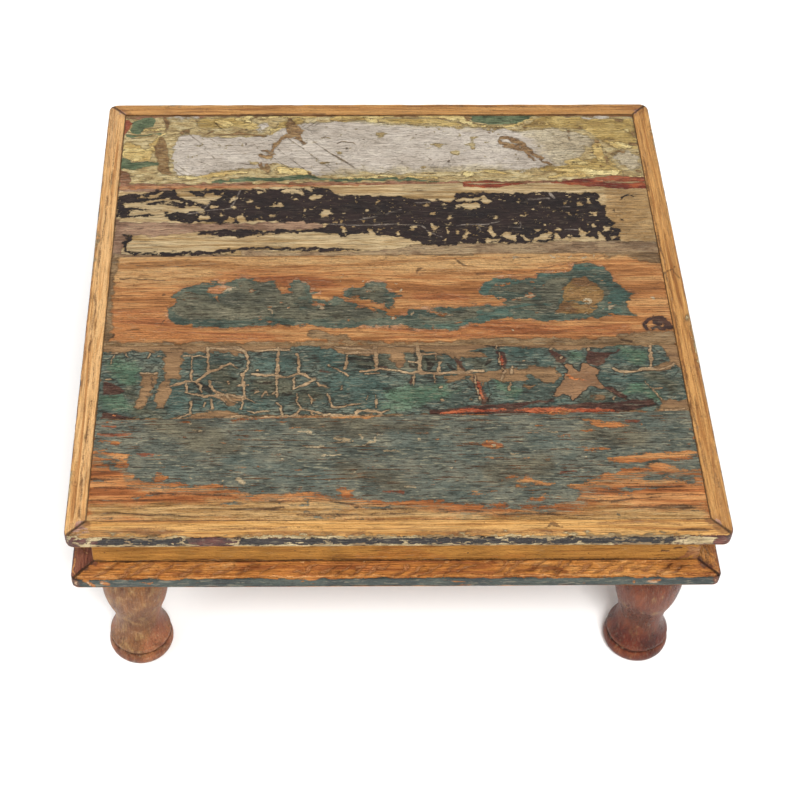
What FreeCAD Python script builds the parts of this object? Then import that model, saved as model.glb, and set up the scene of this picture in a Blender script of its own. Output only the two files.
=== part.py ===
import FreeCAD, Part
import math
import os
import re

import Sketcher

# A bajot: a low square table of reclaimed boards, on four turned legs.
# X runs to the sitter's right, Y to the back and Z up, from the floor under the middle of the top.

sizes = {
    # the whole table, over its edges
    "table_width": 400,
    "table_depth": 400,
    # the top: five boards inside four mitred strips
    "top_thickness": 10,
    "strip_width": 13,
    "top_corner": 6,
    "strip_arris": 1.5,
    "board_arris": 0.4,
    # the neck: a set-back box of mitred rails under the top
    "neck_setback": 13,
    "neck_height": 32,
    "neck_thickness": 10,
    "neck_corner": 1.5,
    # the base: a flat mitred frame as wide as the top, its ledge falling to the edge
    "base_thickness": 10,
    "base_rail_width": 56,
    "ledge_fall": 1.1,
    "base_corner": 4.5,
    "base_arris": 1.2,
    # two battens across the boards, and a glue block in each corner of the neck
    "batten_width": 32,
    "batten_thickness": 16,
    "batten_spread": 180,
    "batten_chamfer": 2,
    "block_size": 40,
    "block_chamfer": 14,
    # a leg, from the floor up: foot ring, groove, lip, bell, waist, vase, shoulder, collar, plate
    "leg_inset": 34,
    "leg_height": 109,
    "sole_radius": 17.8,
    "ring_height": 11,
    "ring_edge_radius": 19.4,
    "ring_bulge": 2.8,
    "groove_radius": 18.7,
    "groove_height": 1.4,
    "lip_height": 4,
    "lip_radius": 20.1,
    "lip_bulge": 0.5,
    "waist_height": 34.5,
    "waist_radius": 15.4,
    "vase_height": 74,
    "vase_radius": 21.7,
    "shoulder_height": 91,
    "shoulder_radius": 18.4,
    "cove_radius": 16.7,
    "cove_hollow": 1.1,
    "collar_radius": 18.2,
    "collar_height": 97,
    "collar_thickness": 7,
    "collar_bulge": 1.2,
    "plate_radius": 19.4,
    "plate_thickness": 4,
    # the turned pin on top of a leg, and its hole
    "pin_radius": 8,
    "pin_length": 32,
    "pin_chamfer": 1,
    "pin_fit": 0.1,
    "pin_room": 2,
    # countersunk screws up through the battens
    "screw_radius": 1.7,
    "screw_head_radius": 3.4,
    "screw_length": 22,
    "screw_point": 3,
    # flat nails up through the base, with heads wider one way, and headless brads through the strips
    "nail_width": 1.8,
    "nail_thickness": 1.5,
    "nail_length": 28,
    "nail_point": 2.5,
    "nail_head_width": 4,
    "nail_head_thickness": 0.8,
    "brad_width": 1.3,
    "brad_thickness": 1,
    "brad_length": 24,
    "brad_point": 1.8,
    "brad_sunk": 0.5,
    # clearances of every screw, nail and brad: round it, and past its tip
    "fastener_fit": 0.05,
    "fastener_room": 0.5,
    # every cut runs this far past the wood
    "overrun": 5,
}

# Joints between the boards, from the back edge, as shares of the depth inside the strips.
# The boards aren't quite parallel, so the left and right ends differ.
joint_left_shares = (0, 0.206, 0.398, 0.619, 0.789, 1)
joint_right_shares = (0, 0.195, 0.388, 0.619, 0.771, 1)
# Nails and front and back brads, as shares of the side that they are driven along.
nail_shares = (0.25, 0.5, 0.75)
brad_shares = (0.18, 0.5, 0.82)
# Where a leg's outline turns from hollow to round, between its waist and the widest of the vase.
turn_share = 0.4

# Each side and corner: its turn about Z, and which way it lies from the middle.
sides = {"front": (0, -1, -1), "right": (90, 1, -1), "back": (180, 1, 1), "left": (270, -1, 1)}
corners = {"front_left": (0, -1, -1), "front_right": (90, 1, -1),
           "back_right": (180, 1, 1), "back_left": (270, -1, 1)}

doc = FreeCAD.newDocument("bajot_table")
sheet = doc.addObject("Spreadsheet::Sheet", "Sizes")
for row, (name, value) in enumerate(sizes.items(), start=1):
    sheet.set(f"A{row}", name)
    sheet.set(f"B{row}", str(value))
    sheet.setAlias(f"B{row}", name)
doc.recompute()

size_names = re.compile(r"\b(" + "|".join(sizes) + r")\b")
nodes = []

# Heights of the faces that the layers of the table meet on.
base_top = "(leg_height + base_thickness)"
neck_top = "(leg_height + base_thickness + neck_height)"
inner_width = "(table_width - 2 * strip_width)"
inner_depth = "(table_depth - 2 * strip_width)"
rail_inside = "(neck_setback + neck_thickness)"

# Holes: a round one by its radius, a square one by its size along and across the sketch.
screw_hole = ["(screw_radius + fastener_fit)"]
pin_hole = ["(pin_radius + pin_fit)"]
nail_hole = ["(nail_width + 2 * fastener_fit)", "(nail_thickness + 2 * fastener_fit)"]
brad_hole = ["(brad_width + 2 * fastener_fit)", "(brad_thickness + 2 * fastener_fit)"]


# An expression in size names, as the sheet's cells.
def cells(text):
    return size_names.sub(r"Sizes.\1", str(text))


def measure(text):
    return float(sheet.evalExpression(cells(text)))


def bind(item, field, text):
    item.setExpression(field, cells(text))


# Works a feature out, and stops where it can't be made.
def settle(feature):
    doc.recompute()
    if not feature.isValid():
        raise RuntimeError(f"{feature.Name} can't be made")


# Turns a piece about Z and moves it to a place given by three expressions.
def place(item, across, back, up, turn=0):
    item.Placement = FreeCAD.Placement(FreeCAD.Vector(), FreeCAD.Rotation(FreeCAD.Vector(0, 0, 1), turn))
    for field, text in zip("xyz", (across, back, up)):
        bind(item, f"Placement.Base.{field}", text)


def new_body(name):
    body = doc.addObject("PartDesign::Body", name)
    body.Label = name
    nodes.append(body)
    return body


def plane_sketch(body, name, role, offset="0"):
    plane = next(item for item in body.Origin.OriginFeatures if item.Role == role)
    sketch = body.newObject("Sketcher::SketchObject", name)
    sketch.AttachmentSupport = [(plane, "")]
    sketch.MapMode = "FlatFace"
    bind(sketch, "AttachmentOffset.Base.z", offset)
    return sketch


# An arc of a known radius from start to end, bowed out (to the right of the way round) or in.
# Sketch arcs run anticlockwise, so it also tells which of its ends is the start.
def arc_between(start, end, radius, bow):
    chord = end - start
    side = 1 if bow == "out" else -1
    reach = math.sqrt(max(radius ** 2 - chord.Length ** 2 / 4, 0))
    across = FreeCAD.Vector(-chord.y, chord.x, 0).normalize()
    centre = (start + end) / 2 + across * reach * side
    first, last = (start, end) if bow == "out" else (end, start)
    from_angle = math.atan2(first.y - centre.y, first.x - centre.x)
    to_angle = math.atan2(last.y - centre.y, last.x - centre.x)
    if to_angle < from_angle:
        to_angle += 2 * math.pi
    circle = Part.Circle(centre, FreeCAD.Vector(0, 0, 1), radius)
    arc = Part.ArcOfCircle(circle, from_angle, to_angle)
    return (arc, 1, 2) if bow == "out" else (arc, 2, 1)


# Closes an outline anticlockwise through points that are pairs of expressions.
# arcs gives the radius and the bow of each edge that is an arc, by the point that it starts from.
def closed_outline(sketch, points, arcs=None):
    arcs = arcs or {}
    spots = [FreeCAD.Vector(measure(across), measure(up), 0) for across, up in points]
    edges = []
    for index, start in enumerate(spots):
        end = spots[(index + 1) % len(spots)]
        if index in arcs:
            radius, bow = arcs[index]
            curve, first, last = arc_between(start, end, measure(radius), bow)
        else:
            curve, first, last = Part.LineSegment(start, end), 1, 2
        edges.append((sketch.addGeometry(curve, False), first, last))
    for index, (edge, first, last) in enumerate(edges):
        after, after_first = edges[(index + 1) % len(edges)][:2]
        sketch.addConstraint(Sketcher.Constraint("Coincident", edge, last, after, after_first))
    for (edge, first, last), spot, point in zip(edges, spots, points):
        for kind, value, text in (("DistanceX", spot.x, point[0]), ("DistanceY", spot.y, point[1])):
            number = sketch.addConstraint(Sketcher.Constraint(kind, -1, 1, edge, first, value))
            bind(sketch, f"Constraints[{number}]", text)
    for index, (radius, bow) in arcs.items():
        edge = edges[index][0]
        number = sketch.addConstraint(Sketcher.Constraint("Radius", edge, measure(radius)))
        bind(sketch, f"Constraints[{number}]", radius)


def rectangles(sketch, centres, width, height):
    for across, up in centres:
        left, right = (f"{across} {sign} {width} / 2" for sign in "-+")
        low, high = (f"{up} {sign} {height} / 2" for sign in "-+")
        closed_outline(sketch, [(left, low), (right, low), (right, high), (left, high)])


def circles(sketch, centres, radius):
    for across, up in centres:
        spot = FreeCAD.Vector(measure(across), measure(up), 0)
        circle = Part.Circle(spot, FreeCAD.Vector(0, 0, 1), measure(radius))
        edge = sketch.addGeometry(circle, False)
        number = sketch.addConstraint(Sketcher.Constraint("DistanceX", -1, 1, edge, 3, spot.x))
        bind(sketch, f"Constraints[{number}]", across)
        number = sketch.addConstraint(Sketcher.Constraint("DistanceY", -1, 1, edge, 3, spot.y))
        bind(sketch, f"Constraints[{number}]", up)
        number = sketch.addConstraint(Sketcher.Constraint("Radius", edge, measure(radius)))
        bind(sketch, f"Constraints[{number}]", radius)


def pad(body, sketch, length):
    feature = body.newObject("PartDesign::Pad", f"{sketch.Name}_pad")
    feature.Profile = sketch
    bind(feature, "Length", length)
    settle(feature)


# Cuts a sketch's outline out of a body: to a depth, or right through both ways.
def pocket(body, sketch, depth=None, reverse=False):
    before = body.Shape.Volume
    feature = body.newObject("PartDesign::Pocket", f"{sketch.Name}_cut")
    feature.Profile = sketch
    if depth is None:
        feature.Type = "ThroughAll"
        feature.Midplane = True
    else:
        feature.Reversed = reverse
        bind(feature, "Length", depth)
    settle(feature)
    if body.Shape.Volume >= before:
        raise RuntimeError(f"{feature.Name} cut nothing")


# Makes holes along an axis of the body, from the plane at start, in the given direction (1 or -1).
def drill(body, name, axis, start, direction, centres, hole, depth):
    role, normal = {"x": ("YZ_Plane", 1), "y": ("XZ_Plane", -1), "z": ("XY_Plane", 1)}[axis]
    sketch = plane_sketch(body, f"{body.Name}_{name}", role, f"{normal} * ({start})")
    if len(hole) == 1:
        circles(sketch, centres, *hole)
    else:
        rectangles(sketch, centres, *hole)
    pocket(body, sketch, depth, reverse=direction == normal)


# The names of the last feature's edges whose ends and middle pass a test, in the body's own frame.
def edges_where(body, test):
    found = []
    for index, edge in enumerate(body.Tip.Shape.Edges, start=1):
        middle = edge.valueAt((edge.FirstParameter + edge.LastParameter) / 2)
        if all(test(point) for point in [vertex.Point for vertex in edge.Vertexes] + [middle]):
            found.append(f"Edge{index}")
    return found


def round_edges(body, name, edges, radius):
    base = body.Tip
    feature = body.newObject("PartDesign::Fillet", f"{body.Name}_{name}")
    feature.Base = (base, edges)
    bind(feature, "Radius", radius)
    settle(feature)


def chamfer_edges(body, name, edges, size):
    base = body.Tip
    feature = body.newObject("PartDesign::Chamfer", f"{body.Name}_{name}")
    feature.Base = (base, edges)
    bind(feature, "Size", size)
    settle(feature)


# Sets a piece on one side or corner of the table, this far in from the table's edges.
def set_in(body, where, setback, height):
    turn, right, back = where
    place(body, f"{right} * (table_width / 2 - {setback})", f"{back} * (table_depth / 2 - {setback})",
          height, turn)


def side_length(side):
    return "table_width" if side in ("front", "back") else "table_depth"


# A rail of one side: its section run along X, both ends mitred, and its outer corners rounded.
# The section lies in Y and Z, with its outer face on Y = 0. The mitres meet the next rails'.
def mitred_rail(name, side, setback, height, section, width, corner):
    body = new_body(f"{name}_{side}")
    length = f"({side_length(side)} - 2 * {setback})"
    profile = plane_sketch(body, f"{body.Name}_section", "YZ_Plane")
    closed_outline(profile, section)
    pad(body, profile, length)
    turned = f"{corner} * (1 - sqrt(2) / 2)"
    reach = f"({width} + overrun)"
    for end, start, way in (("near", "0", "1"), ("far", length, "-1")):
        outline = [(f"{start} + {way} * {corner}", "0"), (f"{start} + {way} * {turned}", turned),
                   (f"{start} + {way} * {reach}", reach), (f"{start} - {way} * overrun", reach),
                   (f"{start} - {way} * overrun", "-overrun"),
                   (f"{start} + {way} * {corner}", "-overrun")]
        curved = 0
        if end == "far":
            outline.reverse()
            curved = len(outline) - 2
        mitre = plane_sketch(body, f"{body.Name}_{end}_mitre", "XY_Plane")
        closed_outline(mitre, outline, {curved: (corner, "in")})
        pocket(body, mitre)
    set_in(body, sides[side], setback, height)
    return body


# The upper or lower outer edge of a mitred rail, round both of its corners.
def outer_edges(body, corner, level, fall="0"):
    limit = measure(corner) / 2
    low, high = sorted((measure(f"{level} - {fall}"), measure(level)))
    slack = measure("fastener_fit")
    return edges_where(body, lambda point: point.y < limit and low - slack < point.z < high + slack)


def box_section(width, height):
    return [("0", "0"), (width, "0"), (width, height), ("0", height)]


def joint_share(index, end):
    return (joint_left_shares if end == "left" else joint_right_shares)[index]


# How far a board's middle lies behind the strips' front inner edge, at one end or halfway along.
def board_middle(index, end=None):
    ends = [end] if end else ["left", "right"]
    found = [joint_share(joint, each) for joint in (index, index + 1) for each in ends]
    return f"{inner_depth} * {1 - sum(found) / len(found):.6f}"


# Boards of the top, from the back. Their frame starts at the strips' front left inner corner.
def board(index):
    body = new_body(f"top_plank_{index + 1}")
    outline = plane_sketch(body, f"{body.Name}_outline", "XY_Plane")
    rear, front = ([f"{inner_depth} * {1 - joint_share(joint, end)}" for end in ("left", "right")]
                   for joint in (index, index + 1))
    closed_outline(outline, [("0", front[0]), (inner_width, front[1]),
                             (inner_width, rear[1]), ("0", rear[0])])
    pad(body, outline, "top_thickness")
    level = measure("top_thickness") - measure("board_arris")
    upper = edges_where(body, lambda point: point.z > level)
    long_edges = [name for name in upper if body.Tip.Shape.getElement(name).BoundBox.XLength > level]
    chamfer_edges(body, "arris", long_edges, "board_arris")

    pilots = [(batten_middle(way, "strip_width"), board_middle(index)) for way in (-1, 1)]
    drill(body, "batten_pilots", "z", "0", 1, pilots, screw_hole,
          "screw_length - batten_thickness + fastener_room")
    brad_depth = "brad_length + brad_sunk - strip_width + fastener_room"
    level = "top_thickness / 2"
    drill(body, "left_brads", "x", "0", 1, [(board_middle(index, "left"), level)], brad_hole, brad_depth)
    drill(body, "right_brads", "x", inner_width, -1, [(board_middle(index, "right"), level)],
          brad_hole, brad_depth)
    if index in (0, len(joint_left_shares) - 2):
        start, direction = (inner_depth, -1) if index == 0 else ("0", 1)
        along = [(f"table_width * {share} - strip_width", level) for share in brad_shares]
        drill(body, "edge_brads", "y", start, direction, along, brad_hole, brad_depth)
    place(body, "strip_width - table_width / 2", "strip_width - table_depth / 2", neck_top)


# The middle of a batten, from a start this far inside the table's left edge.
def batten_middle(way, start):
    return f"table_width / 2 + {way} * batten_spread / 2 - {start}"


# Where each strip's brads go along it. A left strip's X runs forward, and a right one's back.
def strip_brads_along(side):
    if side in ("front", "back"):
        return [f"table_width * {share}" for share in brad_shares]
    middles = [board_middle(index, side) for index in range(len(joint_left_shares) - 1)]
    if side == "right":
        return [f"strip_width + {middle}" for middle in middles]
    return [f"table_depth - strip_width - {middle}" for middle in middles]


def edge_strip(side):
    section = box_section("strip_width", "top_thickness")
    body = mitred_rail("edge_strip", side, "0", neck_top, section, "strip_width", "top_corner")
    for name, level, radius in (("top_arris", "top_thickness", "strip_arris"),
                                ("lower_arris", "0", "strip_arris / 2")):
        round_edges(body, name, outer_edges(body, "top_corner", level), radius)
    centres = [(along, "top_thickness / 2") for along in strip_brads_along(side)]
    drill(body, "brads", "y", "0", 1, centres, brad_hole, "strip_width + overrun")


def nails_along(side, setback):
    return [f"{side_length(side)} * {share} - {setback}" for share in nail_shares]


def neck_rail(side):
    section = box_section("neck_thickness", "neck_height")
    body = mitred_rail("neck_rail", side, "neck_setback", base_top, section,
                       "neck_thickness", "neck_corner")
    centres = [(along, "neck_thickness / 2") for along in nails_along(side, "neck_setback")]
    drill(body, "nails", "z", "0", 1, centres, nail_hole,
          "nail_length - base_thickness + fastener_room")


# The ledge outside the neck falls to the edge, and a leg's pin passes through each mitre.
def base_rail(side):
    section = [("0", "0"), ("base_rail_width", "0"), ("base_rail_width", "base_thickness"),
               ("neck_setback", "base_thickness"), ("0", "base_thickness - ledge_fall")]
    body = mitred_rail("base_rail", side, "0", "leg_height", section, "base_rail_width", "base_corner")
    upper = outer_edges(body, "base_corner", "base_thickness", "ledge_fall")
    round_edges(body, "upper_arris", upper, "base_arris")
    round_edges(body, "lower_arris", outer_edges(body, "base_corner", "0"), "base_arris")
    length = side_length(side)
    centres = [("leg_inset", "leg_inset"), (f"{length} - leg_inset", "leg_inset")]
    drill(body, "pin_holes", "z", "0", 1, centres, pin_hole, "base_thickness + overrun")
    centres = [(along, "neck_setback + neck_thickness / 2") for along in nails_along(side, "0")]
    drill(body, "nails", "z", "0", 1, centres, nail_hole, "base_thickness + overrun")


# A batten lies across the boards, from the front neck rail to the back one.
def batten(name, way):
    body = new_body(name)
    length = f"(table_depth - 2 * {rail_inside})"
    section = plane_sketch(body, f"{name}_section", "XZ_Plane")
    flat = "batten_width - batten_chamfer"
    closed_outline(section, [("batten_chamfer", "0"), (flat, "0"), ("batten_width", "batten_chamfer"),
                             ("batten_width", "batten_thickness"), ("0", "batten_thickness"),
                             ("0", "batten_chamfer")])
    feature = body.newObject("PartDesign::Pad", f"{name}_pad")
    feature.Profile = section
    feature.Reversed = True
    bind(feature, "Length", length)
    settle(feature)
    middles = [f"{board_middle(index)} + strip_width - {rail_inside}"
               for index in range(len(joint_left_shares) - 1)]
    screw_holes(body, [("batten_width / 2", middle) for middle in middles])
    place(body, f"{way} * batten_spread / 2 - batten_width / 2", f"{rail_inside} - table_depth / 2",
          f"{neck_top} - batten_thickness")


# Countersunk holes right through a piece, from its underside.
def screw_holes(body, centres):
    sketch = plane_sketch(body, f"{body.Name}_screw_places", "XY_Plane")
    circles(sketch, centres, *screw_hole)
    doc.recompute()
    before = body.Shape.Volume
    hole = body.newObject("PartDesign::Hole", f"{body.Name}_screw_holes")
    hole.Profile = sketch
    hole.Threaded = False
    hole.DepthType = "ThroughAll"
    hole.HoleCutType = "Countersink"
    hole.HoleCutCountersinkAngle = 90
    hole.Reversed = True
    bind(hole, "Diameter", f"2 * {screw_hole[0]}")
    bind(hole, "HoleCutDiameter", "2 * (screw_head_radius + fastener_fit)")
    settle(hole)
    if body.Shape.Volume >= before:
        raise RuntimeError(f"{hole.Name} cut nothing")


# A block glued in a corner of the neck, with a blind hole for the leg's pin.
def corner_block(corner):
    body = new_body(f"corner_block_{corner}")
    outline = plane_sketch(body, f"{body.Name}_outline", "XY_Plane")
    shoulder = "block_size - block_chamfer"
    closed_outline(outline, [("0", "0"), ("block_size", "0"), ("block_size", shoulder),
                             (shoulder, "block_size"), ("0", "block_size")])
    pad(body, outline, "neck_height")
    inset = f"leg_inset - {rail_inside}"
    drill(body, "pin_hole", "z", "0", 1, [(inset, inset)], pin_hole,
          "pin_length - base_thickness + pin_room")
    set_in(body, corners[corner], rail_inside, base_top)


# The radius of an arc between two points of an outline that rises this far off its chord.
def radius_of_bulge(start, end, bulge):
    chord = f"((({start[0]}) - ({end[0]})) ^ 2 + (({start[1]}) - ({end[1]})) ^ 2)"
    return f"{chord} / (8 * {bulge}) + {bulge} / 2"


# The radius of an arc between two points that runs straight up or down at one of them.
def radius_of_swell(start, end):
    across = f"abs(({start[0]}) - ({end[0]}))"
    return f"({across} ^ 2 + (({start[1]}) - ({end[1]})) ^ 2) / (2 * {across})"


# A leg turned from one blank, with the pin that goes up through the base into the corner block.
def leg(corner):
    body = new_body(f"leg_{corner}")
    groove_top = "(ring_height + groove_height)"
    lip_top = f"({groove_top} + lip_height)"
    collar_top = "(collar_height + collar_thickness)"
    pin_top = "leg_height + pin_length"
    turn_radius = f"waist_radius + (vase_radius - waist_radius) * {turn_share}"
    turn_height = f"waist_height + (vase_height - waist_height) * {turn_share}"
    points = {
        "axis_foot": ("0", "0"),
        "sole": ("sole_radius", "0"),
        "ring_top": ("ring_edge_radius", "ring_height"),
        "groove": ("groove_radius", "ring_height + groove_height / 2"),
        "lip_foot": ("ring_edge_radius", groove_top),
        "lip_top": ("lip_radius", lip_top),
        "waist": ("waist_radius", "waist_height"),
        "turn": (turn_radius, turn_height),
        "vase": ("vase_radius", "vase_height"),
        "shoulder": ("shoulder_radius", "shoulder_height"),
        "cove": ("cove_radius", "shoulder_height"),
        "collar_foot": ("collar_radius", "collar_height"),
        "collar_top": ("collar_radius", collar_top),
        "plate_foot": ("plate_radius", "leg_height - plate_thickness"),
        "plate_top": ("plate_radius", "leg_height"),
        "pin_foot": ("pin_radius", "leg_height"),
        "pin_edge": ("pin_radius", f"{pin_top} - pin_chamfer"),
        "pin_top": ("pin_radius - pin_chamfer", pin_top),
        "axis_top": ("0", pin_top),
    }
    names = list(points)

    def bulge(start, end, rise, bow="out"):
        return {names.index(start): (radius_of_bulge(points[start], points[end], rise), bow)}

    def swell(start, end, bow):
        return {names.index(start): (radius_of_swell(points[start], points[end]), bow)}

    arcs = {
        **bulge("sole", "ring_top", "ring_bulge"),
        **bulge("lip_foot", "lip_top", "lip_bulge"),
        **swell("lip_top", "waist", "in"),
        **swell("waist", "turn", "in"),
        **swell("turn", "vase", "out"),
        **swell("vase", "shoulder", "out"),
        **bulge("cove", "collar_foot", "cove_hollow", "in"),
        **bulge("collar_foot", "collar_top", "collar_bulge"),
    }
    outline = plane_sketch(body, f"{body.Name}_outline", "XZ_Plane")
    closed_outline(outline, list(points.values()), arcs)
    turned = body.newObject("PartDesign::Revolution", f"{body.Name}_turned")
    turned.Profile = outline
    turned.ReferenceAxis = (outline, ["V_Axis"])
    turned.Angle = 360
    settle(turned)
    set_in(body, corners[corner], "leg_inset", "0")


def cylinder(name, radius, height, start):
    item = doc.addObject("Part::Cylinder", name)
    bind(item, "Radius", radius)
    bind(item, "Height", height)
    place(item, "0", "0", start)
    return item


def cone(name, low_radius, high_radius, height, start):
    item = doc.addObject("Part::Cone", name)
    bind(item, "Radius1", low_radius)
    bind(item, "Radius2", high_radius)
    bind(item, "Height", height)
    place(item, "0", "0", start)
    return item


# A countersunk screw, head down, with its axis up Z.
def screw():
    head_height = "(screw_head_radius - screw_radius)"
    shank_top = "(screw_length - screw_point)"
    fused = doc.addObject("Part::MultiFuse", "screw")
    fused.Shapes = [
        cone("screw_head", "screw_head_radius", "screw_radius", head_height, "0"),
        cylinder("screw_shank", "screw_radius", f"{shank_top} - {head_height}", head_height),
        cone("screw_end", "screw_radius", "0", "screw_point", shank_top),
    ]
    return fused


# A flat nail or brad with a chisel point, driven up Z from Z = 0. A head lies below that.
def flat_nail(kind, head=False):
    half, length, neck = f"{kind}_width / 2", f"{kind}_length", f"{kind}_length - {kind}_point"
    outline = [(f"-{half}", "0"), (half, "0"), (half, neck), ("0", length), (f"-{half}", neck)]
    if head:
        side, under = "nail_head_width / 2", "-nail_head_thickness"
        outline[:1] = [(f"-{half}", "0"), (f"-{side}", "0"), (f"-{side}", under),
                       (side, under), (side, "0")]
    sketch = doc.addObject("Sketcher::SketchObject", f"{kind}_outline")
    sketch.Placement.Rotation = FreeCAD.Rotation(FreeCAD.Vector(1, 0, 0), 90)
    closed_outline(sketch, outline)
    body = doc.addObject("Part::Extrusion", kind)
    body.Base = sketch
    body.DirMode = "Normal"
    body.Solid = True
    body.Symmetric = True
    bind(body, "LengthFwd", f"{kind}_thickness")
    return body


# One node of like fasteners, each a copy of the pattern at a place and a turn.
def fastener_group(name, pattern, spots):
    copies = []
    for index, (across, back, up, turn) in enumerate(spots, start=1):
        copy = doc.addObject("App::Link", f"{name}_{index}")
        copy.LinkedObject = pattern
        copy.Placement = FreeCAD.Placement(FreeCAD.Vector(), turn)
        for field, text in zip("xyz", (across, back, up)):
            bind(copy, f"Placement.Base.{field}", text)
        copies.append(copy)
    group = doc.addObject("Part::Compound", name)
    group.Label = name
    group.Links = copies
    nodes.append(group)
    doc.recompute()


# A point on one side, this far along it and in from the edge, in the table's own X and Y.
def on_side(side, along, inward):
    half_width, half_depth = "table_width / 2", "table_depth / 2"
    return {"front": (f"{along} - {half_width}", f"{inward} - {half_depth}"),
            "right": (f"{half_width} - ({inward})", f"{along} - {half_depth}"),
            "back": (f"{half_width} - ({along})", f"{half_depth} - ({inward})"),
            "left": (f"{inward} - {half_width}", f"{half_depth} - ({along})")}[side]


def fasteners():
    z_axis, x_axis = FreeCAD.Vector(0, 0, 1), FreeCAD.Vector(1, 0, 0)
    screws, nails, brads = [], [], []
    for way in (-1, 1):
        for index in range(len(joint_left_shares) - 1):
            screws.append((f"{way} * batten_spread / 2",
                           f"{board_middle(index)} + strip_width - table_depth / 2",
                           f"{neck_top} - batten_thickness", FreeCAD.Rotation(z_axis, 0)))
    for side, (turn, right, back) in sides.items():
        upright = FreeCAD.Rotation(z_axis, turn)
        inward = upright.multiply(FreeCAD.Rotation(x_axis, -90))
        nails += [on_side(side, along, "neck_setback + neck_thickness / 2") + ("leg_height", upright)
                  for along in nails_along(side, "0")]
        brads += [on_side(side, along, "brad_sunk") + (f"{neck_top} + top_thickness / 2", inward)
                  for along in strip_brads_along(side)]
    fastener_group("batten_screws", screw(), screws)
    fastener_group("frame_nails", flat_nail("nail", head=True), nails)
    fastener_group("strip_brads", flat_nail("brad"), brads)


for index in range(len(joint_left_shares) - 1):
    board(index)
for side in sides:
    edge_strip(side)
for side in sides:
    neck_rail(side)
for side in sides:
    base_rail(side)
batten("batten_left", -1)
batten("batten_right", 1)
for corner in corners:
    corner_block(corner)
for corner in corners:
    leg(corner)
fasteners()
doc.recompute()

for item in doc.Objects:
    if "Invalid" in item.State or "Error" in item.State:
        raise RuntimeError(f"{item.Name} failed: {item.State}")
for node in nodes:
    if node.Shape.isNull() or not node.Shape.isValid() or not node.Shape.Solids:
        raise RuntimeError(f"{node.Label} has no valid solid")

os.makedirs("parts", exist_ok=True)
for node in nodes:
    node.Shape.exportStep(f"parts/{node.Label}.step")
    box = node.Shape.BoundBox
    print(f"{node.Label}: {len(node.Shape.Solids)} solids, {box.XLength:.1f} x {box.YLength:.1f} x "
          f"{box.ZLength:.1f} mm, from z {box.ZMin:.1f}")
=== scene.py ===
import math

import bmesh
import bpy
import numpy as np
from mathutils import Matrix, Vector


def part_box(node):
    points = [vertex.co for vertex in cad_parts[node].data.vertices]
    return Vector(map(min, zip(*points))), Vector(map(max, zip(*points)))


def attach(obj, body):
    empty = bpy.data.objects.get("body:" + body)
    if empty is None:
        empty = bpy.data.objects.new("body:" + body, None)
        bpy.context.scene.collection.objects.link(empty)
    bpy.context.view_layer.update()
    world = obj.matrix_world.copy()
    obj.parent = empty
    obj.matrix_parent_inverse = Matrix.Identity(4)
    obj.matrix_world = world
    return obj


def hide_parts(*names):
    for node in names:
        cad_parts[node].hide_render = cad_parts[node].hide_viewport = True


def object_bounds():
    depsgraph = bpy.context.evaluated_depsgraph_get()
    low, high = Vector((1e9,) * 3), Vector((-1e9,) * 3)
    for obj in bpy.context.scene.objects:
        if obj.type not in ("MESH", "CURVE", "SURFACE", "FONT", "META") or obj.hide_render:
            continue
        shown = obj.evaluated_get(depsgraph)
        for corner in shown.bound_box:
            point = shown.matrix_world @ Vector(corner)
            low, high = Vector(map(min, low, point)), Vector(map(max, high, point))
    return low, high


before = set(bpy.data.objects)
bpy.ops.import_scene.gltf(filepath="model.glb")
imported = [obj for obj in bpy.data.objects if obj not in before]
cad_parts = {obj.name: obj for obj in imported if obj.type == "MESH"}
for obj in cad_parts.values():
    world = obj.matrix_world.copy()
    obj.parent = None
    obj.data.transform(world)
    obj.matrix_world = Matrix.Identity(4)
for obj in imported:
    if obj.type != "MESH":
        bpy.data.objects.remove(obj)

# A bajot: a low table of reclaimed painted boards. Shapes and marks are in millimetres here,
# and X runs to the right, Y to the back and Z up, from the floor under the middle of the top.
mm = 0.001
hair = 0.01  # mm, under which two points are taken as one
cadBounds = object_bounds()
rootBody = "root"

# The photographed view: the camera's place, the way it looks and its down, and the lens.
cameraView = {
    "place": (-57.1, -823.3, 999.6),
    "forward": (0.00965, 0.65705, -0.75379),
    "down": (-0.00335, -0.7538, -0.6571),
    "lens": 78.94,
    "sensor": 36,
    "shift": 0.1,
}
studio = {
    "floor": "F7F6F4",
    "floorSize": 6000,
    "floorRoughness": 0.9,
    "sky": "FFFFFF",
    "skyStrength": 0.62,
    # each soft light: place, size and watts, all aimed at the table
    "lights": {
        "keyLight": ((250, -1600, 2150), 800, 70),
        "fillLight": ((-1800, -900, 1700), 1600, 25),
        "backLight": ((-1400, 1700, 2000), 1200, 9),
    },
}

# The patterns in the wood: how far each is drawn out along the grain, its size in mm, its detail,
# roughness and distortion, and how it is moved from the wood's own shift, so that no two agree.
# Real fibres and pores are a tenth of a millimetre: they are drawn coarser here, to show at all.
woodPatterns = {
    "bands": dict(stretch=14, size=6, detail=6, roughness=0.66, distortion=0.8, times=1, plus=0),
    "fibres": dict(stretch=20, size=1.3, detail=4, roughness=0.75, distortion=0, times=2, plus=7),
    "rings": dict(stretch=34, size=5, detail=3, roughness=0.6, distortion=0.4, times=3, plus=3),
    "mottle": dict(stretch=1.8, size=13, detail=10, roughness=0.64, distortion=0, times=1, plus=43),
    "dashes": dict(stretch=5, size=1.5, detail=3, roughness=0.65, distortion=0.4, times=1, plus=31),
    "grit": dict(stretch=1, size=1.2, detail=4, roughness=0.8, distortion=0, times=1, plus=0),
    "tatter": dict(stretch=2.4, size=4.5, detail=9, roughness=0.78, distortion=0, times=1, plus=19),
}
noiseRange = (0.3, 0.7)  # nearly all values of a noise texture lie in here
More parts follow.
